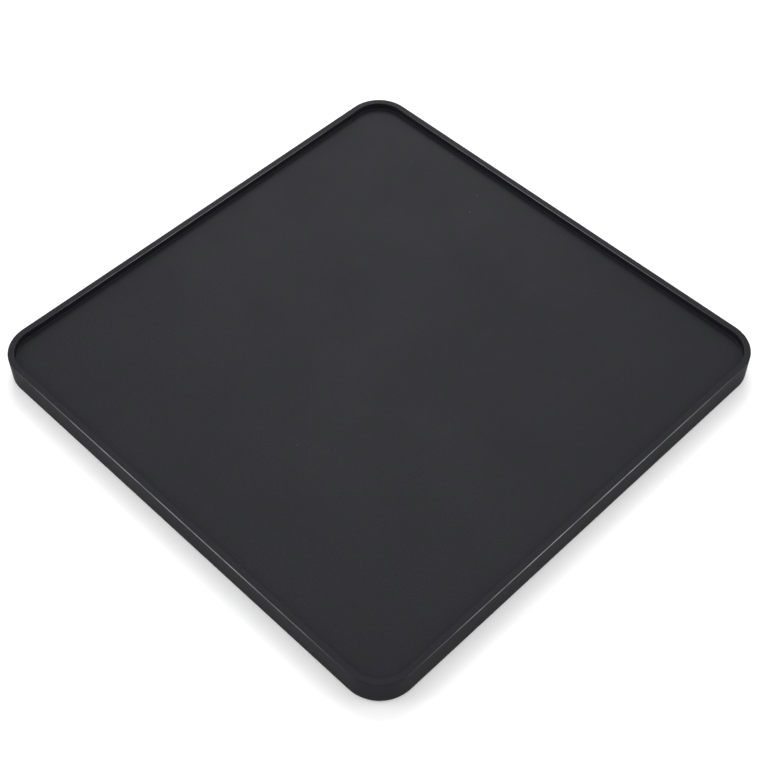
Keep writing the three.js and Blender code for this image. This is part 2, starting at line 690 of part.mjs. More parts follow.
// ---- insulated leads, each along a route through [x, y, height] points ----
const poleX = BLOCK.length / 2 - 4;
const rearPole = BLOCK.y + BLOCK.pitch / 2;
const frontPole = BLOCK.y - BLOCK.pitch / 2;
const strapHeight = STRIP.bottom + STRIP.thickness / 2;
const LEADS = {
  lead_jack_positive: [
    [JACK.x, 176.9, JACK.height],
    [139.5, 173, JACK.height],
    [135, 171.5, 8],
    [130, 176, 8],
    [125.5, 183.5, POLE_HEIGHT],
    [120, rearPole, POLE_HEIGHT],
    [BLOCK.x + poleX, rearPole, POLE_HEIGHT],
  ],
  lead_jack_negative: [
    [JACK.x + TABS.negative.x, 179.4, JACK.height + TABS.negative.z],
    [142.5, 174, 6.8],
    [140, 167.5, 6.6],
    [132, 165.5, 6.8],
    [124.5, 170.5, POLE_HEIGHT],
    [119.5, frontPole, POLE_HEIGHT],
    [BLOCK.x + poleX, frontPole, POLE_HEIGHT],
  ],
  lead_block_fuse: [
    [BLOCK.x - poleX, rearPole, POLE_HEIGHT],
    [88, rearPole - 0.5, POLE_HEIGHT],
    [74, 178, 7.8],
    [58, 160, 8.2],
    [42, 144, 8.6],
    [32, FUSE.y, FUSE.height],
    [FUSE.x + FUSE.leadEnd + CLEARANCE, FUSE.y, FUSE.height],
  ],
  lead_fuse_thermostat: [
    [FUSE.x - FUSE.leadEnd - CLEARANCE, FUSE.y, FUSE.height],
    [-10, 140.2, FUSE.height],
    [-22, 143, 8],
    [-32, 140.6, strapHeight],
    [TX + STRIP.reach + CLEARANCE, TY, strapHeight],
  ],
  lead_thermostat_heater: [
    [TX - STRIP.reach - CLEARANCE, TY, strapHeight],
    [-90, 141, 7.4],
    [-106, 149, 7.6],
    [-124, 160, 8],
    [-140, 162, 8.4],
    [-149, 154, SPLICE.height],
    [-150, 144, SPLICE.height],
    [-150, SPLICE.front + SPLICE.length - 4, SPLICE.height],
  ],
  lead_block_heater: [
    [BLOCK.x - poleX, frontPole, POLE_HEIGHT],
    [90, 175, POLE_HEIGHT],
    [83.5, 168, POLE_HEIGHT],
    [88, 159, 7.8],
    [102, 155, 8],
    [124, 158.5, 8.2],
    [141, 159, 8.5],
    [149, 152, SPLICE.height],
    [150, 144, SPLICE.height],
    [150, SPLICE.front + SPLICE.length - 4, SPLICE.height],
  ],
};
const LEAD_COLOURS = { lead_jack_negative: BLACK_LEAD, lead_block_heater: BLACK_LEAD };
for (const [name, points] of Object.entries(LEADS)) {
  const stops = points.map((point) => new THREE.Vector3(...point));
  const curve = new THREE.CatmullRomCurve3(stops, false, "centripetal");
  add(name, wire(curve, LEAD_RADIUS, 3 * points.length, 6), LEAD_COLOURS[name] ?? RED_LEAD);
}

// ---- crimps that join the leads to the two ends of the heating wire ----
const heaterEdge = ((RUNS - 1) * RUN_SPACING) / 2;
const crimp = sleeve(SPLICE.bore, SPLICE.radius, SPLICE.length, 16);
for (const [name, side] of [
  ["left", -1],
  ["right", 1],
]) {
  add(`splice_${name}`, crimp, STEEL, side * heaterEdge, SPLICE.front + SPLICE.length / 2, SPLICE.height);
}

const heatMat = new THREE.Group();
heatMat.add(mat);
export default heatMat;
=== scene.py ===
# %% [markdown]
# # Seedling heat mat
# A square warming tray for seed trays and pots: a black moulded tray with a thin raised rim, a cover
# screwed on from below, rubber feet, and inside a heating wire, its aluminium plate, insulation and a
# small thermostat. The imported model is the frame: each piece made here takes its place from it, so the
# first step loads it and keeps its box. Everything is in metres, and a millimetre is written MM.

# %% Load the frame
import json
import math

import bmesh
import bpy
import numpy as np
from mathutils import Matrix, Vector

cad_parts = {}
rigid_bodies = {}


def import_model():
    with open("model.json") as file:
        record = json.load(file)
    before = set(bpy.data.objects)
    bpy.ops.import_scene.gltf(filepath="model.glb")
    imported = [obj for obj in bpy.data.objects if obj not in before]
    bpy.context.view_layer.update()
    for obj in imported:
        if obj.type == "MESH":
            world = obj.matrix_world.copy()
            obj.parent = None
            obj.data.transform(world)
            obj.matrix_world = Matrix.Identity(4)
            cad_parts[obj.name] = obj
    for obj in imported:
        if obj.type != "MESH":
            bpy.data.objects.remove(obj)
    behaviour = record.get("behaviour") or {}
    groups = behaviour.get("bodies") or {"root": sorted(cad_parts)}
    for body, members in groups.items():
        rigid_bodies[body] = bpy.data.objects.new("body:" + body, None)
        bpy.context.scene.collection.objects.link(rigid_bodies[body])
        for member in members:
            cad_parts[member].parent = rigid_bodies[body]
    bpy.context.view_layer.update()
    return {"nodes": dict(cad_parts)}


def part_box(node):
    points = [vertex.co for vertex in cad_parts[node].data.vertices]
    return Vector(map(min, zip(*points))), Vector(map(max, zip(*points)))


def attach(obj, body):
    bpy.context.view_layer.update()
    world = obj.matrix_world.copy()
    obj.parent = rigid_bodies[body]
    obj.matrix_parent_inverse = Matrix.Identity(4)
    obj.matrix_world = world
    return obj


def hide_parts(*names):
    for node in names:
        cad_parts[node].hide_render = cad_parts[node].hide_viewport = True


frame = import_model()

MM = 0.001
print("frame loaded:", len(frame["nodes"]), "nodes")

# %% [markdown]
# ## Camera
# The mat is looked at over its near corner, from a little above half way up, with a long lens, so the
# square shows as a gently tapering diamond. A camera is a position and three directions: right, up and
# back. They are worked out from the azimuth and elevation, and a small roll levels the picture.

# %% Set the camera
AZIMUTH, ELEVATION, ROLL = math.radians(-44.9), math.radians(51.6), math.radians(-0.24)
LENS_MM, SENSOR_MM = 72.6, 36.0
DISTANCE = 1.128
LOOKED_AT = Vector((-0.0085, -0.0093, 0.0012))

back = Vector((
    math.sin(AZIMUTH) * math.cos(ELEVATION),
    -math.cos(AZIMUTH) * math.cos(ELEVATION),
    math.sin(ELEVATION),
))
level = Vector((math.cos(AZIMUTH), math.sin(AZIMUTH), 0.0))
upward = back.cross(level)
right = level * math.cos(ROLL) + upward * math.sin(ROLL)
top = upward * math.cos(ROLL) - level * math.sin(ROLL)

camera_data = bpy.data.cameras.new("camera")
camera_data.lens = LENS_MM
camera_data.sensor_width = SENSOR_MM
camera = bpy.data.objects.new("camera", camera_data)
facing = Matrix((right, top, back)).transposed().to_4x4()
camera.matrix_world = Matrix.Translation(LOOKED_AT + back * DISTANCE) @ facing
bpy.context.scene.collection.objects.link(camera)
bpy.context.scene.camera = camera
print("camera at", [round(v, 3) for v in camera.matrix_world.translation])

# %% [markdown]
# ## Colours and shader nodes
# Colours are written as the hex values that a screen shows, and a renderer wants them linear, so one
# function turns them. A second feeds the sockets of a node: with a value, with a colour or with what
# another node gives. A third adds a node with its settings and feeds it, in one call. That keeps each
# material short enough to read as a list of what it does. Two kinds of node come up all the time. Map
# Range takes a value, the range it comes from and the range it goes to, in that order. Mix takes a share
# from 0 to 1 in its socket 0 and two colours in its sockets 6 and 7, and gives a colour from output 2.

# %% Helpers for materials
def linear(hex_colour):
    """An sRGB hex colour as linear RGBA: each channel below 0.04045 is divided by 12.92, the others are
    ((c + 0.055) / 1.055) to the power 2.4."""
    channels = np.array([int(hex_colour[i:i + 2], 16) for i in (1, 3, 5)]) / 255
    low, high = channels / 12.92, ((channels + 0.055) / 1.055) ** 2.4
    return (*np.where(channels <= 0.04045, low, high).tolist(), 1.0)


def new_material(name):
    """A material whose node tree holds one Principled shader and its output. Returns all three."""
    material = bpy.data.materials.new(name)
    material.use_nodes = True
    tree = material.node_tree
    return material, tree, tree.nodes["Principled BSDF"]


def feed(node, inputs):
    """Fills the sockets of a node. A dictionary names or numbers them, and a plain list fills them from
    the first on. Another node's socket is linked, a hex colour is made linear, and a value is set."""
    for key, value in inputs.items() if isinstance(inputs, dict) else enumerate(inputs):
        if isinstance(value, bpy.types.NodeSocket):
            node.id_data.links.new(value, node.inputs[key])
        else:
            node.inputs[key].default_value = linear(value) if isinstance(value, str) else value


def add_node(tree, kind, inputs=(), output=0, **settings):
    """Adds a shader node with its settings, feeds its sockets and returns one of its outputs."""
    node = tree.nodes.new(kind)
    for key, value in settings.items():
        setattr(node, key, value)
    feed(node, inputs)
    return node.outputs[output]


print("material helpers ready")

# %% [markdown]
# ## Surfaces from arrays
# Every shape here is a grid of points worked out with numpy: one direction of the grid goes round or
# along the piece and the other follows its profile. The grid becomes a mesh of quads, its seam is closed
# by wrapping, and a row that shrinks to one point becomes a pole when the doubled points are merged.

# %% Helpers for meshes
def link_mesh(name, mesh, material, smooth_angle=35, flat_faces=False):
    """Puts a mesh in the scene as an object at the origin, with its faces pointing out. With flat_faces
    the large faces keep their own normals up to the small rounds beside them, so they look flat."""
    work = bmesh.new()
    work.from_mesh(mesh)
    bmesh.ops.remove_doubles(work, verts=work.verts, dist=1e-7)
    bmesh.ops.dissolve_degenerate(work, edges=work.edges, dist=1e-8)
    bmesh.ops.recalc_face_normals(work, faces=work.faces)
    work.to_mesh(mesh)
    work.free()
    mesh.shade_smooth()
    mesh.set_sharp_from_angle(angle=math.radians(smooth_angle))
    mesh.materials.clear()
    mesh.materials.append(material)
    piece = bpy.data.objects.new(name, mesh)
    bpy.context.scene.collection.objects.link(piece)
    if flat_faces:
        piece.modifiers.new("large_faces_lead", "WEIGHTED_NORMAL").keep_sharp = True
    return piece


def grid_mesh(name, points, wrap_rows=False, wrap_columns=False):
    """A quad mesh of a (rows, columns, 3) array of points. Wrapping joins the last row or column to the
    first. The quad at (i, j) has the corners (i, j), (i + 1, j), (i + 1, j + 1) and (i, j + 1)."""
    rows, columns = points.shape[:2]
    index = np.arange(rows * columns).reshape(rows, columns)
    if wrap_rows:
        index = np.vstack([index, index[:1]])
    if wrap_columns:
        index = np.hstack([index, index[:, :1]])
    corners = (index[:-1, :-1], index[1:, :-1], index[1:, 1:], index[:-1, 1:])
    quads = np.stack(corners, axis=-1).reshape(-1, 4)
    mesh = bpy.data.meshes.new(name)
    mesh.vertices.add(rows * columns)
    mesh.vertices.foreach_set("co", points.astype(np.float32).ravel())
    mesh.loops.add(quads.size)
    mesh.loops.foreach_set("vertex_index", quads.astype(np.int32).ravel())
    mesh.polygons.add(len(quads))
    mesh.polygons.foreach_set("loop_start", np.arange(0, quads.size, 4, dtype=np.int32))
    mesh.update(calc_edges=True)
    return mesh


def arc(centre, radius, start, end, steps=6):
    """Points on a circular arc: centre + radius * (cos a, sin a), a going from start to end in degrees."""
    angle = np.radians(np.linspace(start, end, steps + 1))
    return np.array(centre) + radius * np.stack([np.cos(angle), np.sin(angle)], axis=1)


def rounded_outline(half_x, half_y, radius, corner_steps=24, side_steps=24):
    """A rounded rectangle as the centres of its corner arcs and the outward directions there, so that
    a point inset by d lies at centre + (radius - d) * direction. Straight sides have extra points."""
    angle = np.linspace(0, np.pi / 2, corner_steps + 1)
    quarter = np.stack([np.cos(angle), np.sin(angle)], axis=1)
    turn = np.array([[0.0, 1.0], [-1.0, 0.0]])
    signs = ((1, 1), (-1, 1), (-1, -1), (1, -1))
    centres, directions = [], []
    for number, sign in enumerate(signs):
        corner = np.array(sign) * (half_x - radius, half_y - radius)
        following = np.array(signs[(number + 1) % 4]) * (half_x - radius, half_y - radius)
        rays = quarter @ np.linalg.matrix_power(turn, number)
        share = np.linspace(0, 1, side_steps + 1)[1:-1, None]
        centres += [np.repeat(corner[None], len(rays), 0), corner + share * (following - corner)]
        directions += [rays, np.repeat(rays[-1:], len(share), 0)]
    return np.vstack(centres), np.vstack(directions)


def swept(outline, radius, profile):
    """Carries a profile of (inset, height) points round an outline. The ring for each profile point is
    centre + (radius - inset) * direction, at that height."""
    centres, directions = outline
    inset, height = np.asarray(profile, float).T
    ring = centres[None] + (radius - inset)[:, None, None] * directions[None]
    heights = np.broadcast_to(height[:, None, None], (*ring.shape[:2], 1))
    return np.concatenate([ring, heights], axis=2)


def facing_out(mesh):
    """The same mesh with doubled points merged and its faces turned outwards, ready for a boolean."""
    work = bmesh.new()
    work.from_mesh(mesh)
    bmesh.ops.remove_doubles(work, verts=work.verts, dist=1e-7)
    bmesh.ops.recalc_face_normals(work, faces=work.faces)
    work.to_mesh(mesh)
    work.free()
    return mesh


def closed_plate(outline, radius, profile, centre=(0, 0)):
    """The profile carried round the outline, with one flat face across its first ring and one across its
    last, moved to a centre. A flat many-sided face stays exact through a boolean."""
    mesh = grid_mesh("plate", swept(outline, radius, profile) + np.array([*centre, 0]), False, True)
    work = bmesh.new()
    work.from_mesh(mesh)
    bmesh.ops.holes_fill(work, edges=[edge for edge in work.edges if edge.is_boundary], sides=0)
    work.to_mesh(mesh)
    work.free()
    return facing_out(mesh)


def turned(profile, centre, axis="Z", steps=48):
    """A profile of (radius, along) points turned round an axis through centre. At angle a a point is
    radius * cos a and radius * sin a across the axis, and along it."""
    radius, along = np.asarray(profile, float).T
    angle = np.linspace(0, 2 * np.pi, steps, endpoint=False)
    across = radius[:, None] * np.cos(angle), radius[:, None] * np.sin(angle)
    lengths = np.broadcast_to(along[:, None], across[0].shape)
    order = {"Z": (across[0], across[1], lengths), "Y": (across[1], lengths, across[0]),
             "X": (lengths, across[0], across[1])}[axis]
    return np.stack(order, axis=-1) + np.array(centre)


def tube(path, radius, steps=16, ends=4):
    """A round tube along a path. At each point the section is radius * (cos a * side + sin a * lift),
    where side is the tangent crossed with +Z and lift is side crossed with the tangent. Each end closes
    in a half round: the section shrinks by cos b as it moves on by a third of the radius times sin b."""
    tangent = np.gradient(path, axis=0)
    tangent /= np.linalg.norm(tangent, axis=1)[:, None]
    side = np.cross(tangent, (0, 0, 1.0))
    side /= np.linalg.norm(side, axis=1)[:, None]
    lift = np.cross(side, tangent)
    b = np.linspace(np.pi / 2, 0, ends + 1)[:-1]
    stations = np.vstack([
        path[:1] - np.sin(b)[:, None] * tangent[:1] * radius / 3, path,
        path[-1:] + np.sin(b[::-1])[:, None] * tangent[-1:] * radius / 3,
    ])
    scale = np.concatenate([np.cos(b), np.ones(len(path)), np.cos(b[::-1])]) * radius
    side = np.vstack([side[:1]] * ends + [side] + [side[-1:]] * ends)
    lift = np.vstack([lift[:1]] * ends + [lift] + [lift[-1:]] * ends)
    angle = np.linspace(0, 2 * np.pi, steps, endpoint=False)[None, :, None]
    section = np.cos(angle) * side[:, None] + np.sin(angle) * lift[:, None]
    return stations[:, None] + scale[:, None, None] * section


def shaped(target, tools, operation="DIFFERENCE"):
    """Cuts or joins meshes with Blender's exact boolean and returns the finished mesh of target."""
    base = bpy.data.objects.new("base", target)
    bpy.context.scene.collection.objects.link(base)
    parts = bpy.data.collections.new("tools")
    for mesh in tools:
        parts.objects.link(bpy.data.objects.new("tool", mesh))
    bpy.context.scene.collection.children.link(parts)
    step = base.modifiers.new("shape", "BOOLEAN")
    step.operand_type, step.collection = "COLLECTION", parts
    step.operation, step.solver = operation, "EXACT"
    bpy.context.view_layer.update()
    result = bpy.data.meshes.new_from_object(base.evaluated_get(bpy.context.evaluated_depsgraph_get()))
    for piece in list(parts.objects):
        bpy.data.objects.remove(piece)
    bpy.data.collections.remove(parts)
    bpy.data.objects.remove(base)
    return result


def box_mesh(low, high):
    """A block between two corners."""
    corners = np.array(np.meshgrid([0, 1], [0, 1], [0, 1], indexing="ij")).reshape(3, -1).T
    points = np.array(low) + corners * (np.array(high) - np.array(low))
    faces = [(0, 1, 3, 2), (4, 6, 7, 5), (0, 4, 5, 1), (2, 3, 7, 6), (0, 2, 6, 4), (1, 5, 7, 3)]
    mesh = bpy.data.meshes.new("block")
    mesh.from_pydata(points.tolist(), [], faces)
    return facing_out(mesh)


def solid_turned(profile, centre, axis="Z", steps=48, closed=False):
    """A turned shape as a mesh ready for a boolean. A closed profile makes a ring."""
    return facing_out(grid_mesh("turned", turned(profile, centre, axis, steps), closed, True))


def cylinder(radius, low, high, centre, axis="Z", steps=32):
    """A plain cylinder from low to high along its axis, as a tool for a boolean."""
    return solid_turned([(0, low), (radius, low), (radius, high), (0, high)], centre, axis, steps)


def stand_for(piece, node, body="housing"):
    """The piece rides on a body and replaces its CAD node, which is hidden."""
    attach(piece, body)
    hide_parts(node)
    return piece


print("mesh helpers ready")

# %% [markdown]
# ## Black moulded plastic
# The tray and the cover are black ABS. The mould's walls were spark-eroded, which leaves a fine, dull
# grain, so the plastic reads as charcoal rather than black: the light that reaches the eye is mostly
# sheen. Four things keep it from looking painted. The grain itself is a shallow bump. A slow cloudiness
# from uneven cooling changes the roughness a little. A faint mottling leans to violet here and to green
# there. And a few specks of dust have settled on it. The walls slid along the mould, so they are duller
# and have faint level streaks. The arrises of the rim carry a painted highlight: a lighter, smoother
# line drawn in place of the light they catch, which the mesh marks with an attribute.

# %% Moulded plastic
GRAIN = 1.1 * MM  # a real spark grain is near 0.1 mm; it is drawn coarser so that it shows at all


def moulded_plastic(name, dark, light, mottled, painted_highlight, sheen=(0.5, 0.62), dust=0.5, streaks=0.0):
    """Spark-eroded black ABS. Coats of colour lie over the dark one, each by a share from 0 to 1: light,
    mottled and, at the marked edges, a painted highlight. sheen holds the roughness of the clearest and the
    cloudiest places, dust how clear its specks are and streaks how clear the streaks of the walls are."""
    material, tree, shader = new_material(name)
    where = add_node(tree, "ShaderNodeTexCoord", output="Object")
    cloudy = {"Vector": where, "Scale": 1 / (70 * MM), "Detail": 4, "Roughness": 0.6}
    cloud = add_node(tree, "ShaderNodeTexNoise", cloudy)
    grain = add_node(tree, "ShaderNodeTexNoise", {"Vector": where, "Scale": 1 / GRAIN, "Detail": 1})
    blotches = add_node(tree, "ShaderNodeTexNoise", cloudy | {"Scale": 1 / (10 * MM)})

    # the upright walls are duller, with faint level streaks from the mould's sliding sides
    normal = add_node(tree, "ShaderNodeNewGeometry", output="Normal")
    up = add_node(tree, "ShaderNodeSeparateXYZ", [normal], output="Z")
    tilt = add_node(tree, "ShaderNodeMath", [up], operation="ABSOLUTE")
    wall = add_node(tree, "ShaderNodeMapRange", [tilt, 0.2, 0.4, 1, 0])
    levels = add_node(tree, "ShaderNodeMapping", {"Vector": where, "Scale": (6, 6, 500)})
    layers = add_node(tree, "ShaderNodeTexNoise", {"Vector": levels, "Scale": 1, "Detail": 2})
    layers = add_node(tree, "ShaderNodeMapRange", [layers, 0.35, 0.7, 0, streaks])
    streak = add_node(tree, "ShaderNodeMath", [wall, layers], operation="MULTIPLY")

    # dust: the middles of widely scattered cells, only a few of which are big enough to show
    distance = add_node(tree, "ShaderNodeTexVoronoi", {"Vector": where, "Scale": 1 / (9 * MM)}, "Distance")
    chance = add_node(tree, "ShaderNodeSeparateColor", [distance.node.outputs["Color"]])
    size = add_node(tree, "ShaderNodeMapRange", [chance, 0.9, 1, 0, 0.06])
    speck = add_node(tree, "ShaderNodeMath", [distance, size], operation="LESS_THAN")
    specks = add_node(tree, "ShaderNodeMath", [speck, dust], operation="MULTIPLY")

    # painted highlight: the marked edges are drawn lighter and glossier in place of the light they catch,
    # broken up a little along their length
    edge_highlight = add_node(tree, "ShaderNodeAttribute", output="Fac", attribute_name="edge_highlight")
    broken = add_node(tree, "ShaderNodeTexNoise", {"Vector": where, "Scale": 1 / (14 * MM), "Detail": 3})
    broken = add_node(tree, "ShaderNodeMapRange", [broken, 0.3, 0.7, 0.45, 1])
    highlight_share = add_node(tree, "ShaderNodeMath", [edge_highlight, broken], operation="MULTIPLY")

    tone = dark
    for share, colour in (
        (add_node(tree, "ShaderNodeMapRange", [cloud, 0.3, 0.7, 0, 0.5]), light),
        (add_node(tree, "ShaderNodeMapRange", [grain, 0.35, 0.65, 0, 0.7]), light),
        (add_node(tree, "ShaderNodeMapRange", [blotches, 0.35, 0.65, 0, 0.7]), mottled),
        # the last coat is the painted highlight on the marked edges
        (streak, "#0a0a0c"), (specks, "#5f5d5b"), (highlight_share, painted_highlight),
    ):
        tone = add_node(tree, "ShaderNodeMix", {0: share, 6: tone, 7: colour}, 2, data_type="RGBA")
    dull = add_node(tree, "ShaderNodeMapRange", [cloud, 0.3, 0.7, *sheen])
    dull = add_node(tree, "ShaderNodeMath", [wall, 0.15, dull], operation="MULTIPLY_ADD")
    dull = add_node(tree, "ShaderNodeMath", [highlight_share, -0.15, dull], operation="MULTIPLY_ADD")
    ripple = add_node(tree, "ShaderNodeTexNoise", {"Vector": where, "Scale": 1 / (45 * MM), "Detail": 1})
    bump = add_node(tree, "ShaderNodeBump", {"Strength": 1, "Distance": 0.03 * MM, "Height": ripple})
    bump = add_node(
        tree, "ShaderNodeBump", {"Strength": 1, "Distance": 0.12 * MM, "Height": grain, "Normal": bump},
    )
    feed(shader, {"Base Color": tone, "Roughness": dull, "Normal": bump})
    feed(shader, {"IOR": 1.53, "Specular IOR Level": 0.08})
    return material


def mark_edge_highlight(piece, painted_highlight):
    """Stores the attribute that holds the share of the painted highlight, 0 to 1 for each vertex, worked
    out from the vertex positions by the given function.
    """
    mesh = piece.data
    place_of = np.empty(3 * len(mesh.vertices), np.float32)
    mesh.vertices.foreach_get("co", place_of)
    share = np.clip(painted_highlight(place_of.reshape(-1, 3)), 0, 1).astype(np.float32)
    mesh.attributes.new("edge_highlight", "FLOAT", "POINT").data.foreach_set("value", share)


# its last colour, #8c8c90, is the painted highlight along the rim's arrises
TRAY_BLACK = moulded_plastic(
    "spark_eroded_black_abs", "#18161c", "#24222a", "#1c1f1d", painted_highlight="#8c8c90",
    sheen=(0.46, 0.56), streaks=0.3,
)
COVER_BLACK = moulded_plastic(
    "plain_black_abs", "#232325", "#2b2b2d", "#252726", painted_highlight="#4a4a4c", dust=0.25,
)
print("moulded plastics:", TRAY_BLACK.name, "and", COVER_BLACK.name)

# %% [markdown]
# ## Top tray
# The part that shows: one moulding with a flat floor, a thin raised rim and plain outer walls. All its
# walls follow the same rounded square, so the whole shell is one profile carried round that outline:
# up from the floor, over the rim, down outside, and back up inside to the floor's underside. The floor
# is closed by one flat face above and one below. Bosses and webs are joined on below with booleans,
# because they don't follow the outline.

# %% Sizes of the tray
RIM_WIDTH = 5 * MM
RIM_DEPTH = 5.7 * MM
CORNER_RADIUS = 28 * MM
FLOOR_THICKNESS = 2.5 * MM
REBATE_WALL, REBATE_DEPTH = 3 * MM, 4.2 * MM
ARRIS, INNER_ARRIS, ROOT_FILLET = 0.5 * MM, 0.35 * MM, 0.9 * MM
CLEARANCE = 0.3 * MM
BOSS_RADIUS, PILOT_RADIUS = 4.5 * MM, 1.8 * MM
STRAP_BOSS, STRAP_PILOT = 3 * MM, 1.3 * MM
BLOCK_BOSS, BLOCK_PILOT = 3.5 * MM, 1.4 * MM
SOCKET_RECESS, SOCKET_HOLE = 5.4 * MM, 3.9 * MM

tray_low, tray_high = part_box("top_tray")
HALF = tray_high[0]
WALL_FOOT, RIM_TOP = tray_low[2], tray_high[2]
FLOOR_TOP = RIM_TOP - RIM_DEPTH
FLOOR_UNDERSIDE = FLOOR_TOP - FLOOR_THICKNESS
WALL_INSIDE = HALF - RIM_WIDTH
ROOT = FLOOR_UNDERSIDE + 0.5 * MM  # bosses and ribs start this high, inside the floor


def middle_of(node):
    """The middle of a node's box, as an array."""
    low, high = (np.array(corner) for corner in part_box(node))
    return (low + high) / 2


BASE_SCREWS = [name for name in frame["nodes"] if name.startswith("base_screw_")]
STRAP_SCREWS = ["strap_screw_front", "strap_screw_rear"]
FEET = [name for name in frame["nodes"] if name.startswith("foot_")]
screw_places = {name: middle_of(name)[:2] for name in BASE_SCREWS}
print("tray", round(2 * HALF / MM, 1), "mm square,", len(BASE_SCREWS), "screws,", len(FEET), "feet")

# %% Make the tray
def tray_profile():
    """Inset and height from the edge of the floor, over the rim and down the wall, to the underside."""
    return np.vstack([
        arc((RIM_WIDTH + ROOT_FILLET, FLOOR_TOP + ROOT_FILLET), ROOT_FILLET, 270, 180, 6),
        arc((RIM_WIDTH - INNER_ARRIS, RIM_TOP - INNER_ARRIS), INNER_ARRIS, 0, 90, 4),
        arc((ARRIS, RIM_TOP - ARRIS), ARRIS, 90, 180, 5),
        arc((ARRIS, WALL_FOOT + ARRIS), ARRIS, 180, 270, 4),
        [(REBATE_WALL, WALL_FOOT), (REBATE_WALL, WALL_FOOT + REBATE_DEPTH)],
        [(RIM_WIDTH, WALL_FOOT + REBATE_DEPTH), (RIM_WIDTH, FLOOR_UNDERSIDE)],
    ])


def base_screw_bosses():
    """The bosses that the base screws go into, with webs that tie the outer ones to the walls, and their
    pilot holes. Returns what is joined on and what is cut."""
    added, holes = [], []
    boss_foot, pilot_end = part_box("base_cover")[1][2] + CLEARANCE, FLOOR_UNDERSIDE - 0.7 * MM
    web_foot, web, reach = WALL_FOOT + 7 * MM, 0.8 * MM, WALL_INSIDE + MM
    for x, y in screw_places.values():
        added.append(cylinder(BOSS_RADIUS, boss_foot, ROOT, (x, y, 0)))
        holes.append(cylinder(PILOT_RADIUS, boss_foot - MM, pilot_end, (x, y, 0), steps=20))
        if abs(x) > MM:
            ends = sorted((x, math.copysign(reach, x)))
            added.append(box_mesh((ends[0], y - web, web_foot), (ends[1], y + web, ROOT)))
        if abs(y) > MM:
            ends = sorted((y, math.copysign(reach, y)))
            added.append(box_mesh((x - web, ends[0], web_foot + 0.1 * MM), (x + web, ends[1], ROOT)))
    return added, holes


def inner_bosses():
    """The bosses for the strap and the terminal block with their pilot holes, and four ribs that centre
    the heat spreader. Returns what is joined on and what is cut."""
    added, holes = [], []
    for name in STRAP_SCREWS:
        x, y = middle_of(name)[:2]
        ends = WALL_FOOT + 6 * MM, WALL_FOOT + 12 * MM
        added.append(cylinder(STRAP_BOSS, WALL_FOOT + 7.3 * MM, ROOT, (x, y, 0)))
        holes.append(cylinder(STRAP_PILOT, *ends, (x, y, 0), steps=16))
    x, y = middle_of("terminal_block_screw")[:2]
    block_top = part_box("terminal_block")[1][2]
    ends = block_top - MM, WALL_FOOT + 14.3 * MM
    added.append(cylinder(BLOCK_BOSS, block_top + CLEARANCE, ROOT, (x, y, 0)))
    holes.append(cylinder(BLOCK_PILOT, *ends, (x, y, 0), steps=16))
    spreader_low, spreader_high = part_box("heat_spreader")
    near, foot = spreader_high[0] + MM, spreader_low[2]
    rib, half = 1.6 * MM, 45 * MM
    for sign in (-1, 1):
        ends = sorted((sign * near, sign * (near + rib)))
        added.append(box_mesh((ends[0], -half, foot), (ends[1], half, ROOT)))
        added.append(box_mesh((-half, ends[0], foot), (half, ends[1], ROOT)))
    return added, holes


def tray_mesh():
    """The shell, with its bosses, webs and ribs joined on, and its pilot holes and socket opening cut."""
    outline = rounded_outline(HALF, HALF, CORNER_RADIUS, corner_steps=32, side_steps=16)
    shell = closed_plate(outline, CORNER_RADIUS, tray_profile())
    bosses, pilots = base_screw_bosses()
    added, holes = inner_bosses()
    x, _, z = middle_of("jack_body")
    holes.append(cylinder(SOCKET_RECESS, HALF - 2.2 * MM, HALF + MM, (x, 0, z), "Y", 48))
    holes.append(cylinder(SOCKET_HOLE, WALL_INSIDE - MM, HALF, (x, 0, z), "Y", 40))
    return shaped(shaped(shell, bosses + added, "UNION"), pilots + holes)


def tray_edge_highlight(p):
    """The share of the painted highlight: 1 on the arrises of the rim and 0 elsewhere, from the distance
    inside the rounded square. It fades over the last 130 mm of each side, and on the inner arris it is
    painted only at the two rear sides, at 0.85 of the full share."""
    beyond = np.abs(p[:, :2]) - (HALF - CORNER_RADIUS)
    outside = np.linalg.norm(np.maximum(beyond, 0), axis=1) + np.minimum(beyond.max(axis=1), 0)
    inset = CORNER_RADIUS - outside
    below_top = RIM_TOP - p[:, 2]
    outer = (inset < 0.45 * MM) & (below_top < 0.45 * MM)
    inner = (np.abs(inset - RIM_WIDTH) < 0.3 * MM) & (below_top < 0.3 * MM)
    towards_corner = np.clip((HALF - np.abs(p[:, :2]).min(axis=1) - 20 * MM) / (110 * MM), 0, 1)
    rear = p[:, :2].sum(axis=1) > 0
    return (outer + inner * rear * 0.85) * towards_corner


tray = link_mesh("top_tray_moulding", tray_mesh(), TRAY_BLACK, flat_faces=True)
# the rim's arrises get the painted highlight
mark_edge_highlight(tray, tray_edge_highlight)
stand_for(tray, "top_tray")
print("tray:", len(tray.data.polygons), "faces")

# %% [markdown]
# ## Finishes of the other pieces
# The cover, feet and everything inside are made of a dozen plain industrial materials. Each one is the
# same recipe with its own numbers: two close colours mixed by a cloudy pattern, a roughness that wanders
# with it, and a fine bump for how the surface was made. A pattern stretched along one direction gives
# the drawn lines of rolled metal. Metals keep the default IOR and take their colour from their reflection.

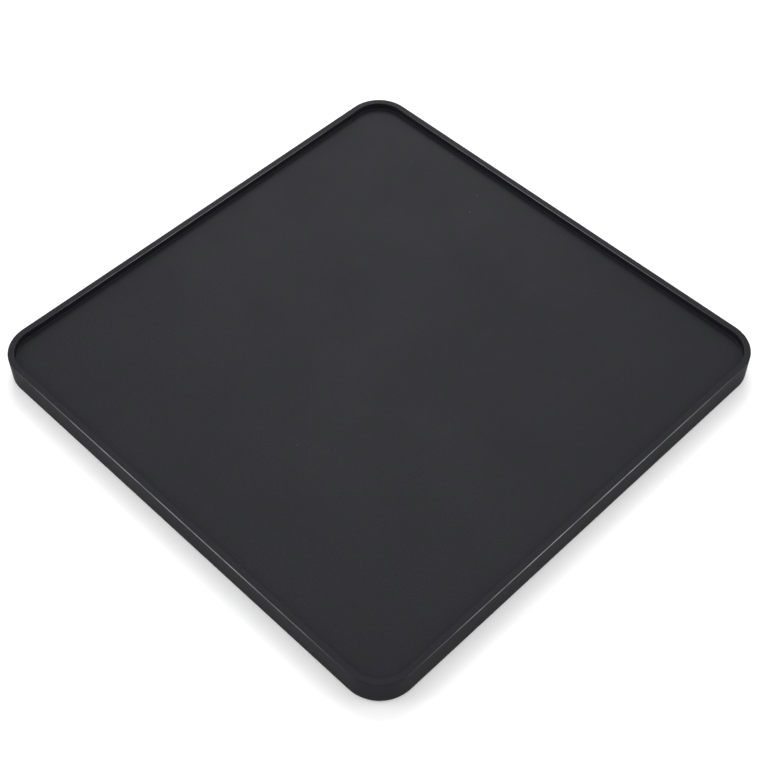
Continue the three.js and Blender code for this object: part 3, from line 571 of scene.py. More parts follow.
# %% Recipe for a finish
def finish(name, first, second, cloud, rough, grain, depth, metal=0.0, ior=1.5, stretch=(1, 1, 1)):
    """Two colours mixed by clouds of the size cloud, a roughness between the two values of rough, and a
    bump made by grains of the size grain, depth high, all in metres. stretch below 1 draws them out."""
    material, tree, shader = new_material(name)
    where = add_node(tree, "ShaderNodeTexCoord", output="Object")
    where = add_node(tree, "ShaderNodeMapping", {"Vector": where, "Scale": stretch})
    slow = add_node(tree, "ShaderNodeTexNoise", {"Vector": where, "Scale": 1 / cloud, "Detail": 3})
    fine = add_node(tree, "ShaderNodeTexNoise", {"Vector": where, "Scale": 1 / grain, "Detail": 2})
    tone = first
    for share in (
        add_node(tree, "ShaderNodeMapRange", [slow, 0.3, 0.7, 0, 1]),
        add_node(tree, "ShaderNodeMapRange", [fine, 0.35, 0.65, 0, 0.4]),
    ):
        tone = add_node(tree, "ShaderNodeMix", {0: share, 6: tone, 7: second}, 2, data_type="RGBA")
    dull = add_node(tree, "ShaderNodeMapRange", [slow, 0.3, 0.7, *rough])
    bump = add_node(tree, "ShaderNodeBump", {"Strength": 1, "Distance": depth, "Height": fine})
    feed(shader, {"Base Color": tone, "Roughness": dull, "Normal": bump, "Metallic": metal})
    if not metal:
        feed(shader, {"IOR": ior})
    return material


print("recipe for a finish ready")

# %% Plastics and rubbers
# matt moulded rubber: dark, dusty looking, hardly any highlight
RUBBER = finish(
    "moulded_rubber", "#1a1a1b", "#272728", 12 * MM, (0.75, 0.9), 0.5 * MM, 0.03 * MM, ior=1.52,
)
# silicone has a soft, slightly greasy sheen and picks up lint
SILICONE = finish(
    "brick_red_silicone", "#7d3225", "#96432f", 15 * MM, (0.4, 0.58), 0.8 * MM, 0.02 * MM, ior=1.41,
)
# phenolic is pressed from powder: brown, hard and a little mottled
PHENOLIC = finish(
    "pressed_brown_phenolic", "#2f2019", "#4a3327", 2 * MM, (0.32, 0.5), 0.3 * MM, 0.01 * MM, ior=1.6,
)
# natural nylon: waxy off-white
NYLON = finish(
    "natural_nylon", "#d3cfc0", "#e4e0d3", 9 * MM, (0.38, 0.52), 0.5 * MM, 0.01 * MM, ior=1.53,
)
# glass-filled nylon of the socket: black, with a faint grey bloom from its fibres
SOCKET_BLACK = finish(
    "glass_filled_black_nylon", "#131314", "#262628", 3 * MM, (0.35, 0.55), 0.3 * MM, 0.01 * MM,
)
# extruded PVC: an even colour with faint draw lines
PVC_RED = finish(
    "red_pvc_lead", "#8f1b19", "#ad2823", 14 * MM, (0.34, 0.48), 0.6 * MM, 0.01 * MM, ior=1.54,
)
PVC_BLACK = finish(
    "black_pvc_lead", "#141415", "#222224", 14 * MM, (0.34, 0.48), 0.6 * MM, 0.01 * MM, ior=1.54,
)
# woven glass sleeving: cream yarn with shadows between the strands
GLASS_YARN = finish(
    "varnished_glass_sleeving", "#bda986", "#ddd0b0", 1.2 * MM, (0.45, 0.7), 0.25 * MM, 0.03 * MM,
)
print("plastics and rubbers ready")

# %% Metals
# mill-finish sheet: grey, with rolling lines along X
SHEET = finish(
    "mill_finish_aluminium_sheet", "#b4b6b8", "#cfd1d3", 30 * MM, (0.26, 0.4), 1.2 * MM, 0.006 * MM,
    metal=1.0, stretch=(0.06, 1, 1),
)
# household-bright foil: the crumples are in the mesh, and the fine ones are a bump
FOIL = finish(
    "bright_aluminium_foil", "#c6c8ca", "#e0e1e2", 25 * MM, (0.14, 0.26), 5 * MM, 0.08 * MM, metal=1.0,
)
# zinc plate with a clear passivation, which leaves a cool grey with a hint of straw
ZINC = finish(
    "zinc_plated_steel", "#a3a7ab", "#c0bfb6", 2.5 * MM, (0.22, 0.38), 0.3 * MM, 0.008 * MM, metal=1.0,
)
# stamped half-hard brass, a little tarnished
BRASS = finish(
    "stamped_brass", "#9d7c3d", "#c7a55b", 3 * MM, (0.24, 0.4), 0.4 * MM, 0.006 * MM, metal=1.0,
)
print("metals ready")

# %% Bimetal and foam
def bimetal_strip():
    """Two rolled alloys bonded face to face: the active one is a warm grey and the other a cool one.
    The height in the strip says which of them a point belongs to."""
    material, tree, shader = new_material("bonded_bimetal_strip")
    where = add_node(tree, "ShaderNodeTexCoord", output="Object")
    rolled = add_node(tree, "ShaderNodeMapping", {"Vector": where, "Scale": (0.08, 1, 1)})
    lines = add_node(tree, "ShaderNodeTexNoise", {"Vector": rolled, "Scale": 1 / (1.5 * MM), "Detail": 3})
    streaked = add_node(tree, "ShaderNodeMapRange", [lines, 0.3, 0.7, 0, 1])
    warm, cool = (
        add_node(tree, "ShaderNodeMix", {0: streaked, 6: first, 7: second}, 2, data_type="RGBA")
        for first, second in (("#a58a6f", "#c0a488"), ("#9c9fa2", "#b9bcbf"))
    )
    height = add_node(tree, "ShaderNodeSeparateXYZ", [where], output="Z")
    seam, blur = middle_of("bimetal_arm")[2], 0.01 * MM
    upper = add_node(tree, "ShaderNodeMapRange", [height, seam - blur, seam + blur, 0, 1])
    tone = add_node(tree, "ShaderNodeMix", {0: upper, 6: warm, 7: cool}, 2, data_type="RGBA")
    dull = add_node(tree, "ShaderNodeMapRange", [lines, 0.3, 0.7, 0.25, 0.4])
    bump = add_node(tree, "ShaderNodeBump", {"Strength": 1, "Distance": 0.004 * MM, "Height": lines})
    feed(shader, {"Base Color": tone, "Roughness": dull, "Normal": bump, "Metallic": 1})
    return material


def cell_foam():
    """Closed-cell foam board: cream, very dull, with its cut cells as shallow pits, whose middles are
    painted darker as shade. The cells are about 0.6 mm on the real board and 1.5 mm here, so that they show."""
    material, tree, shader = new_material("closed_cell_foam_board")
    where = add_node(tree, "ShaderNodeTexCoord", output="Object")
    cells = add_node(tree, "ShaderNodeTexVoronoi", {"Vector": where, "Scale": 1 / (1.5 * MM)}, "Distance")
    pit_and_shade = add_node(tree, "ShaderNodeMapRange", [cells, 0, 0.5, 0, 1])
    slow = add_node(tree, "ShaderNodeTexNoise", {"Vector": where, "Scale": 1 / (40 * MM), "Detail": 3})
    share = add_node(tree, "ShaderNodeMapRange", [slow, 0.3, 0.7, 0, 1])
    tone = add_node(tree, "ShaderNodeMix", {0: share, 6: "#dbd5c6", 7: "#ebe6da"}, 2, data_type="RGBA")
    # painted shade: the middles of the cells, where the pits are deepest, are drawn darker
    tone = add_node(tree, "ShaderNodeMix", {0: pit_and_shade, 6: "#c4bdac", 7: tone}, 2, data_type="RGBA")
    dull = add_node(tree, "ShaderNodeMapRange", [slow, 0.3, 0.7, 0.85, 0.97])
    bump = add_node(tree, "ShaderNodeBump", {"Strength": 1, "Distance": 0.12 * MM, "Height": pit_and_shade})
    feed(shader, {"Base Color": tone, "Roughness": dull, "Normal": bump, "IOR": 1.45})
    return material


BIMETAL, FOAM = bimetal_strip(), cell_foam()
print("bimetal and foam ready")

# %% [markdown]
# ## Base cover
# The plate that closes the tray from below. Its outside has nine counterbored wells for the screws, four
# round recesses for the feet and a shallow panel where a rating label would go, left blank here. Its
# inside has a grid of low ribs that carries the insulation board. The plate is a profile carried round
# the rounded square, and what stands on it or is sunk in it is joined and cut by booleans.

# %% Make the base cover
COVER_THICKNESS = 2.5 * MM
SCREW_PAD, SCREW_WELL, SCREW_HOLE, WELL_DEPTH = 5.5 * MM, 3.8 * MM, 1.8 * MM, 2.4 * MM
FOOT_PAD = 10 * MM
foot_low, foot_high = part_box(FEET[0])
FOOT_TOP = foot_high[2]
FOOT_RADIUS = (foot_high[0] - foot_low[0]) / 2
foot_places = {name: middle_of(name)[:2] for name in FEET}


def chamfered(radius, low, high, chamfer, centre, steps=48):
    """A cutting cylinder that opens out by a chamfer at its lower end, where it meets the surface."""
    mouth = radius + chamfer + MM
    profile = [(0, low - MM), (mouth, low - MM), (radius, low + chamfer), (radius, high), (0, high)]
    return solid_turned(profile, centre, "Z", steps)


def cover_mesh():
    """The plate with its ribs, wells and pads joined on, and its holes and recesses cut."""
    cover_low, cover_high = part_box("base_cover")
    half, foot, crest = cover_high[0], cover_low[2], cover_high[2]
    plate_top = foot + COVER_THICKNESS
    radius = CORNER_RADIUS - (HALF - half)
    outline = rounded_outline(half, half, radius, corner_steps=24, side_steps=4)
    edge = 0.4 * MM
    profile = np.vstack([
        arc((edge, foot + edge), edge, 270, 180, 4),
        arc((edge, plate_top - edge), edge, 180, 90, 4),
    ])
    plate = closed_plate(outline, radius, profile)
    root = plate_top - 0.5 * MM
    added, cuts = [], []
    chamfer = 0.3 * MM
    for x, y in screw_places.values():
        added.append(cylinder(SCREW_PAD, root, crest, (x, y, 0)))
        cuts.append(chamfered(SCREW_WELL, foot, foot + WELL_DEPTH, chamfer, (x, y, 0)))
        cuts.append(cylinder(SCREW_HOLE, foot, crest + MM, (x, y, 0), steps=24))
    for x, y in foot_places.values():
        added.append(cylinder(FOOT_PAD, root, crest, (x, y, 0), steps=64))
        recess_top = FOOT_TOP + CLEARANCE
        cuts.append(chamfered(FOOT_RADIUS + CLEARANCE, foot, recess_top, chamfer, (x, y, 0), 64))
    rib, reach, spacing, rear = 0.9 * MM, 165 * MM, 59 * MM, 110 * MM
    for number in range(-2, 2):
        y = number * spacing
        added.append(box_mesh((-reach, y - rib, root), (reach, y + rib, crest - 0.3 * MM)))
    for number in range(-2, 3):
        x = number * spacing
        added.append(box_mesh((x - rib, -reach, root), (x + rib, rear, crest - 0.6 * MM)))
    panel_corner = 4 * MM
    panel = rounded_outline(40 * MM, 22.5 * MM, panel_corner, corner_steps=12, side_steps=2)
    sunk = [(-0.3 * MM, foot - MM), (0, foot), (0.2 * MM, foot + 0.4 * MM)]
    cuts.append(closed_plate(panel, panel_corner, sunk, centre=(0, -88 * MM)))
    return shaped(shaped(plate, added, "UNION"), cuts)


cover = link_mesh("base_cover_plate", cover_mesh(), COVER_BLACK, flat_faces=True)
# the cover's edges get no painted highlight
mark_edge_highlight(cover, lambda p: np.zeros(len(p)))
stand_for(cover, "base_cover")
print("cover:", len(cover.data.polygons), "faces")

# %% [markdown]
# ## Feet
# Each foot is a rubber button pressed into its recess. Its sole has three rings that grip the bench, and
# its rim is rounded. It is a turned shape, so one profile of radius and height makes it. The profile
# runs from the middle of the sole, over the rings and the rim, to the middle of the flat top.

# %% Make the feet
def foot_profile():
    """Radius and height. On the sole the height is the depth of a groove times half of 1 + cos of 2 pi *
    radius / spacing, which gives the grooves between the rings."""
    edge, spacing, groove = 0.7 * MM, 2.3 * MM, 0.35 * MM
    radius = np.linspace(0, FOOT_RADIUS - edge, 40)
    grooves = groove * 0.5 * (1 + np.cos(2 * np.pi * radius / spacing)) * (radius < 3 * spacing)
    sole = np.stack([radius, grooves], axis=1)
    rim = arc((FOOT_RADIUS - edge, edge), edge, 270, 360, 6)[1:]
    bevel = 0.3 * MM
    crown = arc((FOOT_RADIUS - bevel, FOOT_TOP - bevel), bevel, 0, 90, 3)
    return np.vstack([sole, rim, crown, [(0, FOOT_TOP)]])


for name, (x, y) in foot_places.items():
    button = grid_mesh(name, turned(foot_profile(), (x, y, 0)), False, True)
    stand_for(link_mesh(name + "_rubber", button, RUBBER), name)
print("feet:", len(FEET))

# %% [markdown]
# ## Screws
# All the screws are pan-head, for plastic: a domed edge, a cross or a slot in the face, and a coarse
# thread. A boolean could cut the recess, but the whole screw can be one surface. It is a grid of stations
# along the profile by angles round the axis. On the face each point sinks by the shape of the recess at
# its own place, and on the shank each point moves in or out by the height of the thread at its own angle.

# %% Helpers for screws
def thread(along, angle, pitch, depth):
    """Height of a thread: depth times a ridge that peaks once in each pitch. The ridge is a cosine of
    2 pi * along / pitch - angle, raised above its middle and sharpened by a power of 3."""
    wave = 0.5 + 0.5 * np.cos(2 * np.pi * along / pitch - angle)
    return depth * wave ** 3


def recess(x, y, reach, half_width, depth, cross=True):
    """Depth of a driver recess at (x, y): full inside one or two bars of the given reach and half width,
    and falling to nothing over 0.2 mm at their edges."""
    edge = 0.2 * MM
    across, along = np.abs(x), np.abs(y)
    if cross:
        across, along = np.minimum(across, along), np.maximum(across, along)
    inside = np.clip((half_width - across) / edge + 0.5, 0, 1)
    return depth * (inside * np.clip((reach - along) / edge + 0.5, 0, 1))


def screw_points(place_of, face, head, head_height, shank, tip, cross=True, pitch=1.2 * MM, steps=36):
    """A screw that points up. Its stations go from the middle of the face out to the head's rim, up its
    side, in to the shank, and along the thread to the point."""
    angle = np.linspace(0, 2 * np.pi, steps, endpoint=False)[None]
    ring = np.ones_like(angle)
    dome = 0.35 * head_height
    radius = np.linspace(0, head - dome, 16)[:, None] * ring
    bar_reach, bar = 0.62 * head if cross else head, 0.2 * head
    depth = 0.55 * head_height
    sunk = recess(radius * np.cos(angle), radius * np.sin(angle), bar_reach, bar, depth, cross)
    start, end = face + head_height, tip - shank
    side = np.vstack([
        arc((head - dome, face + dome), dome, 270, 360, 5)[1:],
        [(head, start), (shank, start)],
    ])
    along = np.linspace(start, end, max(8, int(8 * (end - start) / pitch)))[1:, None]
    ridge = 0.18 * shank
    fade = np.clip((along - start) / pitch, 0, 1) * np.clip((end - along) / pitch, 0, 1)
    core = shank - ridge + thread(along, angle, pitch, ridge) * fade
    taper = np.linspace(1, 0, 6)[1:, None]
    radii = np.vstack([radius, side[:, :1] * ring, core, (shank - ridge) * taper * ring])
    point = end + (1 - taper) * (tip - end) * ring
    heights = np.vstack([face + sunk, side[:, 1:] * ring, along * ring, point])
    x, y = place_of
    return np.stack([x + radii * np.cos(angle), y + radii * np.sin(angle), heights], axis=-1)


def make_screw(node, head, head_height, shank, cross=True, pitch=1.2 * MM):
    """A detailed screw in the place of a CAD screw, whose box gives its face, its tip and its axis."""
    bottom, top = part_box(node)
    place_of, face, tip = middle_of(node)[:2], bottom[2], top[2]
    points = screw_points(place_of, face, head, head_height, shank, tip, cross, pitch)
    piece = link_mesh(node + "_threaded", grid_mesh(node, points, False, True), ZINC, smooth_angle=50)
    return stand_for(piece, node)


print("screw helpers ready")

# %% Make the screws
for node in BASE_SCREWS:
    make_screw(node, head=3.4 * MM, head_height=1.9 * MM, shank=1.5 * MM, pitch=1.3 * MM)
for node in STRAP_SCREWS:
    make_screw(node, head=2.2 * MM, head_height=1.3 * MM, shank=MM, pitch=0.9 * MM)
make_screw("terminal_block_screw", head=2.2 * MM, head_height=0.9 * MM, shank=1.1 * MM, pitch=MM)
CLAMP_SCREWS = [name for name in frame["nodes"] if name.startswith("clamp_screw_")]
for node in CLAMP_SCREWS:
    make_screw(node, head=1.4 * MM, head_height=MM, shank=MM, cross=False, pitch=0.5 * MM)
print("screws:", len(BASE_SCREWS) + len(STRAP_SCREWS) + 1 + len(CLAMP_SCREWS))

# %% [markdown]
# ## Gasket
# A silicone ring lies on the ledge of the tray and the cover squeezes it. Its section is a flat strip
# with a round bead along the middle of each face. The section is a closed profile, so the grid wraps both
# ways and leaves no open edge.

# %% Make the gasket
GASKET_WIDTH = 1.4 * MM


def gasket_section(half_height, middle):
    """A closed loop of inset and height: at angle a the inset is half the width times cos a, and the
    height is 0.6 of the half height times sin a, plus the rest of it times the cube of sin a."""
    a = np.linspace(0, 2 * np.pi, 20, endpoint=False)
    inset = GASKET_WIDTH / 2 * (1 - np.cos(a))
    height = middle + half_height * (0.6 * np.sin(a) + 0.4 * np.sin(a) ** 3)
    return np.stack([inset, height], axis=1)


ring_low, ring_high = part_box("perimeter_gasket")
ring_radius = CORNER_RADIUS - (HALF - ring_high[0])
ring_outline = rounded_outline(ring_high[0], ring_high[0], ring_radius, 20, 20)
section = gasket_section((ring_high[2] - ring_low[2]) / 2, middle_of("perimeter_gasket")[2])
gasket_ring = grid_mesh("gasket", swept(ring_outline, ring_radius, section), True, True)
gasket = stand_for(link_mesh("silicone_gasket", gasket_ring, SILICONE), "perimeter_gasket")
print("gasket:", len(gasket.data.polygons), "faces")

# %% [markdown]
# ## Heat spreader, foil and insulation
# Three sheets lie over each other: the aluminium plate under the tray's floor, the foil that holds the
# wire against it, and the foam board that keeps the heat from the bench. Each has a round hole for the
# middle boss. The plate and the board are flat, with small rounded edges. The foil is a sheet that was
# smoothed down by hand, so it is a height field: a sum of crossing ripples with sharp crests.

# %% Make the three sheets
BOSS_HOLE = 5.5 * MM


def rounded_slab(low, high, corner, edge, corner_steps=8, side_steps=2):
    """A block with rounded corners in plan and rounded edges, between two corners of a box."""
    low, high = np.array(low), np.array(high)
    half_x, half_y = (high - low)[:2] / 2
    outline = rounded_outline(half_x, half_y, corner, corner_steps, side_steps)
    profile = np.vstack([
        arc((edge, low[2] + edge), edge, 270, 180, 3),
        arc((edge, high[2] - edge), edge, 180, 90, 3),
    ])
    return closed_plate(outline, corner, profile, centre=(low + high)[:2] / 2)


def hole_through(node, radius, x=0.0, y=0.0, steps=48):
    """A cutting cylinder right through the height of a node."""
    bottom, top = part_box(node)
    return cylinder(radius, bottom[2] - MM, top[2] + MM, (x, y, 0), steps=steps)


def foil_mesh():
    """Both faces of the sheet follow one height: the sum of seven ripples of falling length, each an
    absolute sine of a turned coordinate, which gives flat facets that meet in creases."""
    bottom, top = (np.array(c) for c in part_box("wire_foil"))
    x = np.linspace(bottom[0], top[0], 130)
    y = np.linspace(bottom[1], top[1], 112)
    X, Y = np.meshgrid(x, y, indexing="ij")
    height = np.zeros_like(X)
    for number in range(7):
        heading, length = 2.4 * number + 0.5, 46 * MM * 0.72 ** number
        along = X * math.cos(heading) + Y * math.sin(heading)
        across = Y * math.cos(heading) - X * math.sin(heading)
        sway = 1.3 * np.sin(across / (2 * length))
        height += (0.5 - np.abs(np.sin(along * np.pi / length + sway))) * 0.8 ** number
    height *= 0.13 * MM / np.abs(height).max()
    X, Y, height = (np.pad(values, 1, mode="edge") for values in (X, Y, height))
    rim = np.ones_like(X, dtype=bool)
    rim[1:-1, 1:-1] = False
    half_way = (top[2] + bottom[2]) / 2  # where the two faces meet, all round the edge
    upper, lower = (
        np.stack([X, Y, np.where(rim, half_way, face) + height], axis=-1) for face in (top[2], bottom[2])
    )
    sheet = np.concatenate([upper, lower[::-1]])
    mesh = facing_out(grid_mesh("foil", sheet, True, False))
    return shaped(mesh, [hole_through("wire_foil", BOSS_HOLE)])


plate_holes = [hole_through("heat_spreader", BOSS_HOLE)]
for name in STRAP_SCREWS:
    plate_holes.append(hole_through("heat_spreader", 4 * MM, *middle_of(name)[:2], steps=32))
plate = rounded_slab(*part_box("heat_spreader"), corner=6 * MM, edge=0.2 * MM)
plate = shaped(plate, plate_holes)
board = rounded_slab(*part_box("insulation_board"), corner=3 * MM, edge=0.5 * MM)
board = shaped(board, [hole_through("insulation_board", BOSS_HOLE)])
stand_for(link_mesh("aluminium_plate", plate, SHEET, flat_faces=True), "heat_spreader")
stand_for(link_mesh("foam_board", board, FOAM, flat_faces=True), "insulation_board")
foil = stand_for(link_mesh("crumpled_foil", foil_mesh(), FOIL, smooth_angle=25), "wire_foil")
print("foil:", len(foil.data.polygons), "faces")

# %% [markdown]
# ## Heating wire and leads
# The heating wire is silicone insulated and laid to and fro in sixteen runs, and six short leads join the
# socket, the terminal block, the fuse, the thermostat and the wire. All are round tubes along a path. A
# Blender curve with a bevel would do, but an array keeps the path exact, so nothing touches its
# neighbour. The leads bend freely, so a smooth curve goes through the stops of each one.

# %% Make the heating wire
WIRE_RADIUS = MM
RUNS, RUN_SPACING = 16, 20 * MM
RUN_FRONT, RUN_REAR = -150 * MM, 98 * MM
DIP_REAR, DIP_LENGTH = 122 * MM, 9 * MM


def heating_route():
    """Straight runs joined by half circles of half the run spacing. At each end the wire eases down to
    the crimp: its height falls by 3 s^2 - 2 s^3 of the drop as s goes from 0 to 1 along the dip."""
    _, end, wire_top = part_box("heating_wire")[1]
    height = wire_top - WIRE_RADIUS
    drop = height - middle_of("splice_left")[2]
    edge = (RUNS - 1) * RUN_SPACING / 2
    s = np.linspace(0, 1, 13)
    dip_y = np.concatenate([[end], DIP_REAR - DIP_LENGTH * s])
    dip_z = height - drop * np.concatenate([[1], 1 - (3 * s ** 2 - 2 * s ** 3)])
    first = np.stack([np.full_like(dip_y, -edge), dip_y, dip_z], axis=1)
    last = first[::-1] * (-1, 1, 1)
    angle = np.linspace(0, np.pi, 25)
    runs = []
    for number in range(RUNS - 1):
        forward, line = (-1, RUN_FRONT) if number % 2 == 0 else (1, RUN_REAR)
        centre = -edge + (number + 0.5) * RUN_SPACING
        bend = RUN_SPACING / 2
        x = centre - bend * np.cos(angle)
        y = line + forward * bend * np.sin(angle)
        runs.append(np.stack([x, y, np.full_like(x, height)], axis=1))
    return np.vstack([first, *runs, last])


wire_mesh = grid_mesh("wire", tube(heating_route(), WIRE_RADIUS, steps=14), False, True)
wire = stand_for(link_mesh("silicone_heating_wire", wire_mesh, SILICONE), "heating_wire")
print("heating wire:", len(wire.data.polygons), "faces")

# %% Make the leads
LEAD_RADIUS = 0.9 * MM
# stops in millimetres, the heights counted from the lower edge of the wall
LEAD_STOPS = {
    "lead_jack_positive": [
        (140, 176.9, 8), (139.5, 173, 8), (135, 171.5, 8), (130, 176, 8), (125.5, 183.5, 7.6),
        (120, 186, 7.6), (111.5, 186, 7.6),
    ],
    "lead_jack_negative": [
        (142.3, 179.4, 6.8), (142.5, 174, 6.8), (140, 167.5, 6.6), (132, 165.5, 6.8), (124.5, 170.5, 7.6),
        (119.5, 176, 7.6), (111.5, 176, 7.6),
    ],
    "lead_block_fuse": [
        (98.5, 186, 7.6), (88, 185.5, 7.6), (74, 178, 7.8), (58, 160, 8.2), (42, 144, 8.6), (32, 140, 8.6),
        (22.3, 140, 8.6),
    ],
    "lead_fuse_thermostat": [
        (-2.3, 140, 8.6), (-10, 140.2, 8.6), (-22, 143, 8), (-32, 140.6, 7.4), (-40.7, 140, 7.4),
    ],
    "lead_thermostat_heater": [
        (-79.3, 140, 7.4), (-90, 141, 7.4), (-106, 149, 7.6), (-124, 160, 8), (-140, 162, 8.4),
        (-149, 154, 8.6), (-150, 144, 8.6), (-150, 134, 8.6),
    ],
    "lead_block_heater": [
        (98.5, 176, 7.6), (90, 175, 7.6), (83.5, 168, 7.6), (88, 159, 7.8), (102, 155, 8), (124, 158.5, 8.2),
        (141, 159, 8.5), (149, 152, 8.6), (150, 144, 8.6), (150, 134, 8.6),
    ],
}
BLACK_LEADS = ("lead_jack_negative", "lead_block_heater")


def smooth_route(stops, steps=12):
    """A smooth curve through the stops. Between two stops it is a cubic that starts and ends along the
    mean directions there, weighted by the square roots of the distances, so it never loops or swings."""
    p = np.vstack([2 * stops[0] - stops[1], stops, 2 * stops[-1] - stops[-2]])
    root = np.sqrt(np.linalg.norm(np.diff(p, axis=0), axis=1))[:, None]
    a, b, c, d = p[:-3], p[1:-2], p[2:-1], p[3:]
    before, here, after = root[:-2], root[1:-1], root[2:]
    leave = ((b - a) / before - (c - a) / (before + here) + (c - b) / here) * here
    arrive = ((c - b) / here - (d - b) / (here + after) + (d - c) / after) * here
    t = np.linspace(0, 1, steps, endpoint=False)[None, :, None]
    b, c, leave, arrive = (v[:, None] for v in (b, c, leave, arrive))
    curve = (2 * t**3 - 3 * t**2 + 1) * b + (t**3 - 2 * t**2 + t) * leave
    curve = curve + (3 * t**2 - 2 * t**3) * c + (t**3 - t**2) * arrive
    return np.vstack([curve.reshape(-1, 3), stops[-1:]])


for name, stops in LEAD_STOPS.items():
    path = smooth_route(np.array(stops) * MM + np.array([0, 0, WALL_FOOT]))
    mesh = grid_mesh(name, tube(path, LEAD_RADIUS, steps=16), False, True)
    stand_for(link_mesh(name + "_pvc", mesh, PVC_BLACK if name in BLACK_LEADS else PVC_RED), name)
print("leads:", len(LEAD_STOPS))

# %% Make the crimps
def crimp_mesh(node):
    """A tube whose outside is pinched twice: its radius falls by 0.4 mm times a bell of the distance from
    each pinch, and times the square of the cosine of the angle, so it is flattened from two sides."""
    bottom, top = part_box(node)
    x, _, z = middle_of(node)
    outer, bore, bevel = top[0] - x, 1.35 * MM, 0.2 * MM
    y = np.linspace(bottom[1] + bevel, top[1] - bevel, 60)[:, None]
    angle = np.linspace(0, 2 * np.pi, 48, endpoint=False)[None]
    length = top[1] - bottom[1]
    pinches = sum(np.exp(-((y - bottom[1] - share * length) / MM) ** 2) for share in (0.3, 0.7))
    outside = outer - 0.4 * MM * pinches * np.cos(angle) ** 2
    ring = np.ones_like(angle)
    end_face = np.vstack([bore * ring, (outer - bevel) * ring])
    radii = np.vstack([end_face, outside, end_face[::-1]])
    along = np.vstack([bottom[1] * ring, bottom[1] * ring, y * ring, top[1] * ring, top[1] * ring])
    points = np.stack([x + radii * np.sin(angle), along, z + radii * np.cos(angle)], axis=-1)
    return grid_mesh(node, points, True, True)


for node in ("splice_left", "splice_right"):
    stand_for(link_mesh(node + "_crimp", crimp_mesh(node), ZINC), node)
print("crimps: 2")

# %% [markdown]
# ## Thermostat
# A small bimetal switch sits under the heat spreader in the rear bay. A phenolic base carries two brass
# terminals. Over them lies the sprung bimetal arm with a contact button under its free end, and an
# aluminium cap, open below, takes the heat to it. The arm is the one piece that moves: when the plate is
# warm enough it curls up and opens the contact. A strap over two screws holds the whole switch.

# %% Make the thermostat
STRIP_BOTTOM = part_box("thermostat_arm_terminal")[0][2]
STRIP_TOP = STRIP_BOTTOM + 0.6 * MM

t_low, t_high = (np.array(c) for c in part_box("thermostat_base"))
t_middle = middle_of("thermostat_base")
flange_top = t_low[2] + 1.7 * MM
flange = rounded_slab(t_low, (*t_high[:2], flange_top), 1.2 * MM, 0.25 * MM)
inset = 0.9 * MM
plug_low, plug_high = (*(t_low[:2] + inset), flange_top - MM), (*(t_high[:2] - inset), t_high[2])
base = shaped(flange, [rounded_slab(plug_low, plug_high, 0.8 * MM, 0.15 * MM)], "UNION")
stand_for(link_mesh("thermostat_phenolic_base", base, PHENOLIC, flat_faces=True), "thermostat_base")


def cap_mesh():
    """A drawn cup with rounded shoulders, hollowed from below, with a notch at each end for a terminal."""
    bottom, top = (np.array(c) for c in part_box("thermostat_cap"))
    wall, corner, shoulder, notch = 0.6 * MM, 1.5 * MM, 0.5 * MM, 2.5 * MM
    half_x, half_y = (top - bottom)[:2] / 2
    outline = rounded_outline(half_x, half_y, corner, corner_steps=8, side_steps=2)
    profile = np.vstack([
        [(0, bottom[2])],
        arc((shoulder, top[2] - shoulder), shoulder, 180, 90, 5),
    ])
    centre = (bottom + top)[:2] / 2
    cup = closed_plate(outline, corner, profile, centre)
    hollow_low, hollow_high = (*(bottom[:2] + wall), bottom[2] - MM), (*(top[:2] - wall), top[2] - wall)
    hollow = rounded_slab(hollow_low, hollow_high, corner - wall, 0.3 * MM)
    slot = box_mesh(
        (bottom[0] - MM, centre[1] - notch, bottom[2] - MM),
        (top[0] + MM, centre[1] + notch, STRIP_TOP + 0.4 * MM),
    )
    return shaped(cup, [hollow, slot])


stand_for(link_mesh("thermostat_drawn_cap", cap_mesh(), SHEET, flat_faces=True), "thermostat_cap")
print("thermostat base and cap ready")

# %% Make its terminals, arm and contacts
CONTACT_X, CONTACT_Y, _ = middle_of("moving_contact")
BUTTON_RADIUS = 1.5 * MM


def contact_button(low, high):
    """A round contact with slightly domed faces and rounded edges, on the axis of the contacts. Half way
    out each dome has fallen by a quarter of its height."""
    edge, dome = 0.15 * MM, 0.15 * MM
    inner, outer = BUTTON_RADIUS * 0.5, BUTTON_RADIUS - edge
    profile = np.vstack([
        [(0, low), (inner, low + dome * 0.25)],
        arc((outer, low + dome + edge), edge, 270, 360, 3),
        arc((outer, high - dome - edge), edge, 0, 90, 3),
        [(inner, high - dome * 0.25), (0, high)],
    ])
    return solid_turned(profile, (CONTACT_X, CONTACT_Y, 0), "Z", 40)


def terminal_hole(x):
    """A cutter for the round hole near the outer end of a terminal."""
    return cylinder(0.7 * MM, STRIP_BOTTOM - MM, STRIP_TOP + MM, (x, t_middle[1], 0), steps=24)


def arm_terminal():
    """A strip with a folded-up post at its inner end, which holds the arm, and a soldering hole outside."""
    low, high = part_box("thermostat_arm_terminal")
    strip = rounded_slab(low, (t_middle[0] - 6 * MM, high[1], STRIP_TOP), 0.8 * MM, 0.1 * MM)
    left, right = t_middle[0] - 10.5 * MM, t_middle[0] - 7.5 * MM
    near, far = t_middle[1] - 1.5 * MM, t_middle[1] + 1.5 * MM
    post = rounded_slab((left, near, STRIP_TOP - 0.3 * MM), (right, far, high[2]), 0.4 * MM, 0.1 * MM)
    return shaped(shaped(strip, [post], "UNION"), [terminal_hole(low[0] + 2 * MM)])


def fixed_terminal():
    """A strip with the fixed contact riveted on its inner end."""
    low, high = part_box("thermostat_fixed_terminal")
    strip = rounded_slab(low, (high[0], high[1], STRIP_TOP), 0.8 * MM, 0.1 * MM)
    button = contact_button(STRIP_TOP - 0.3 * MM, high[2])
    return shaped(shaped(strip, [button], "UNION"), [terminal_hole(high[0] - 2 * MM)])


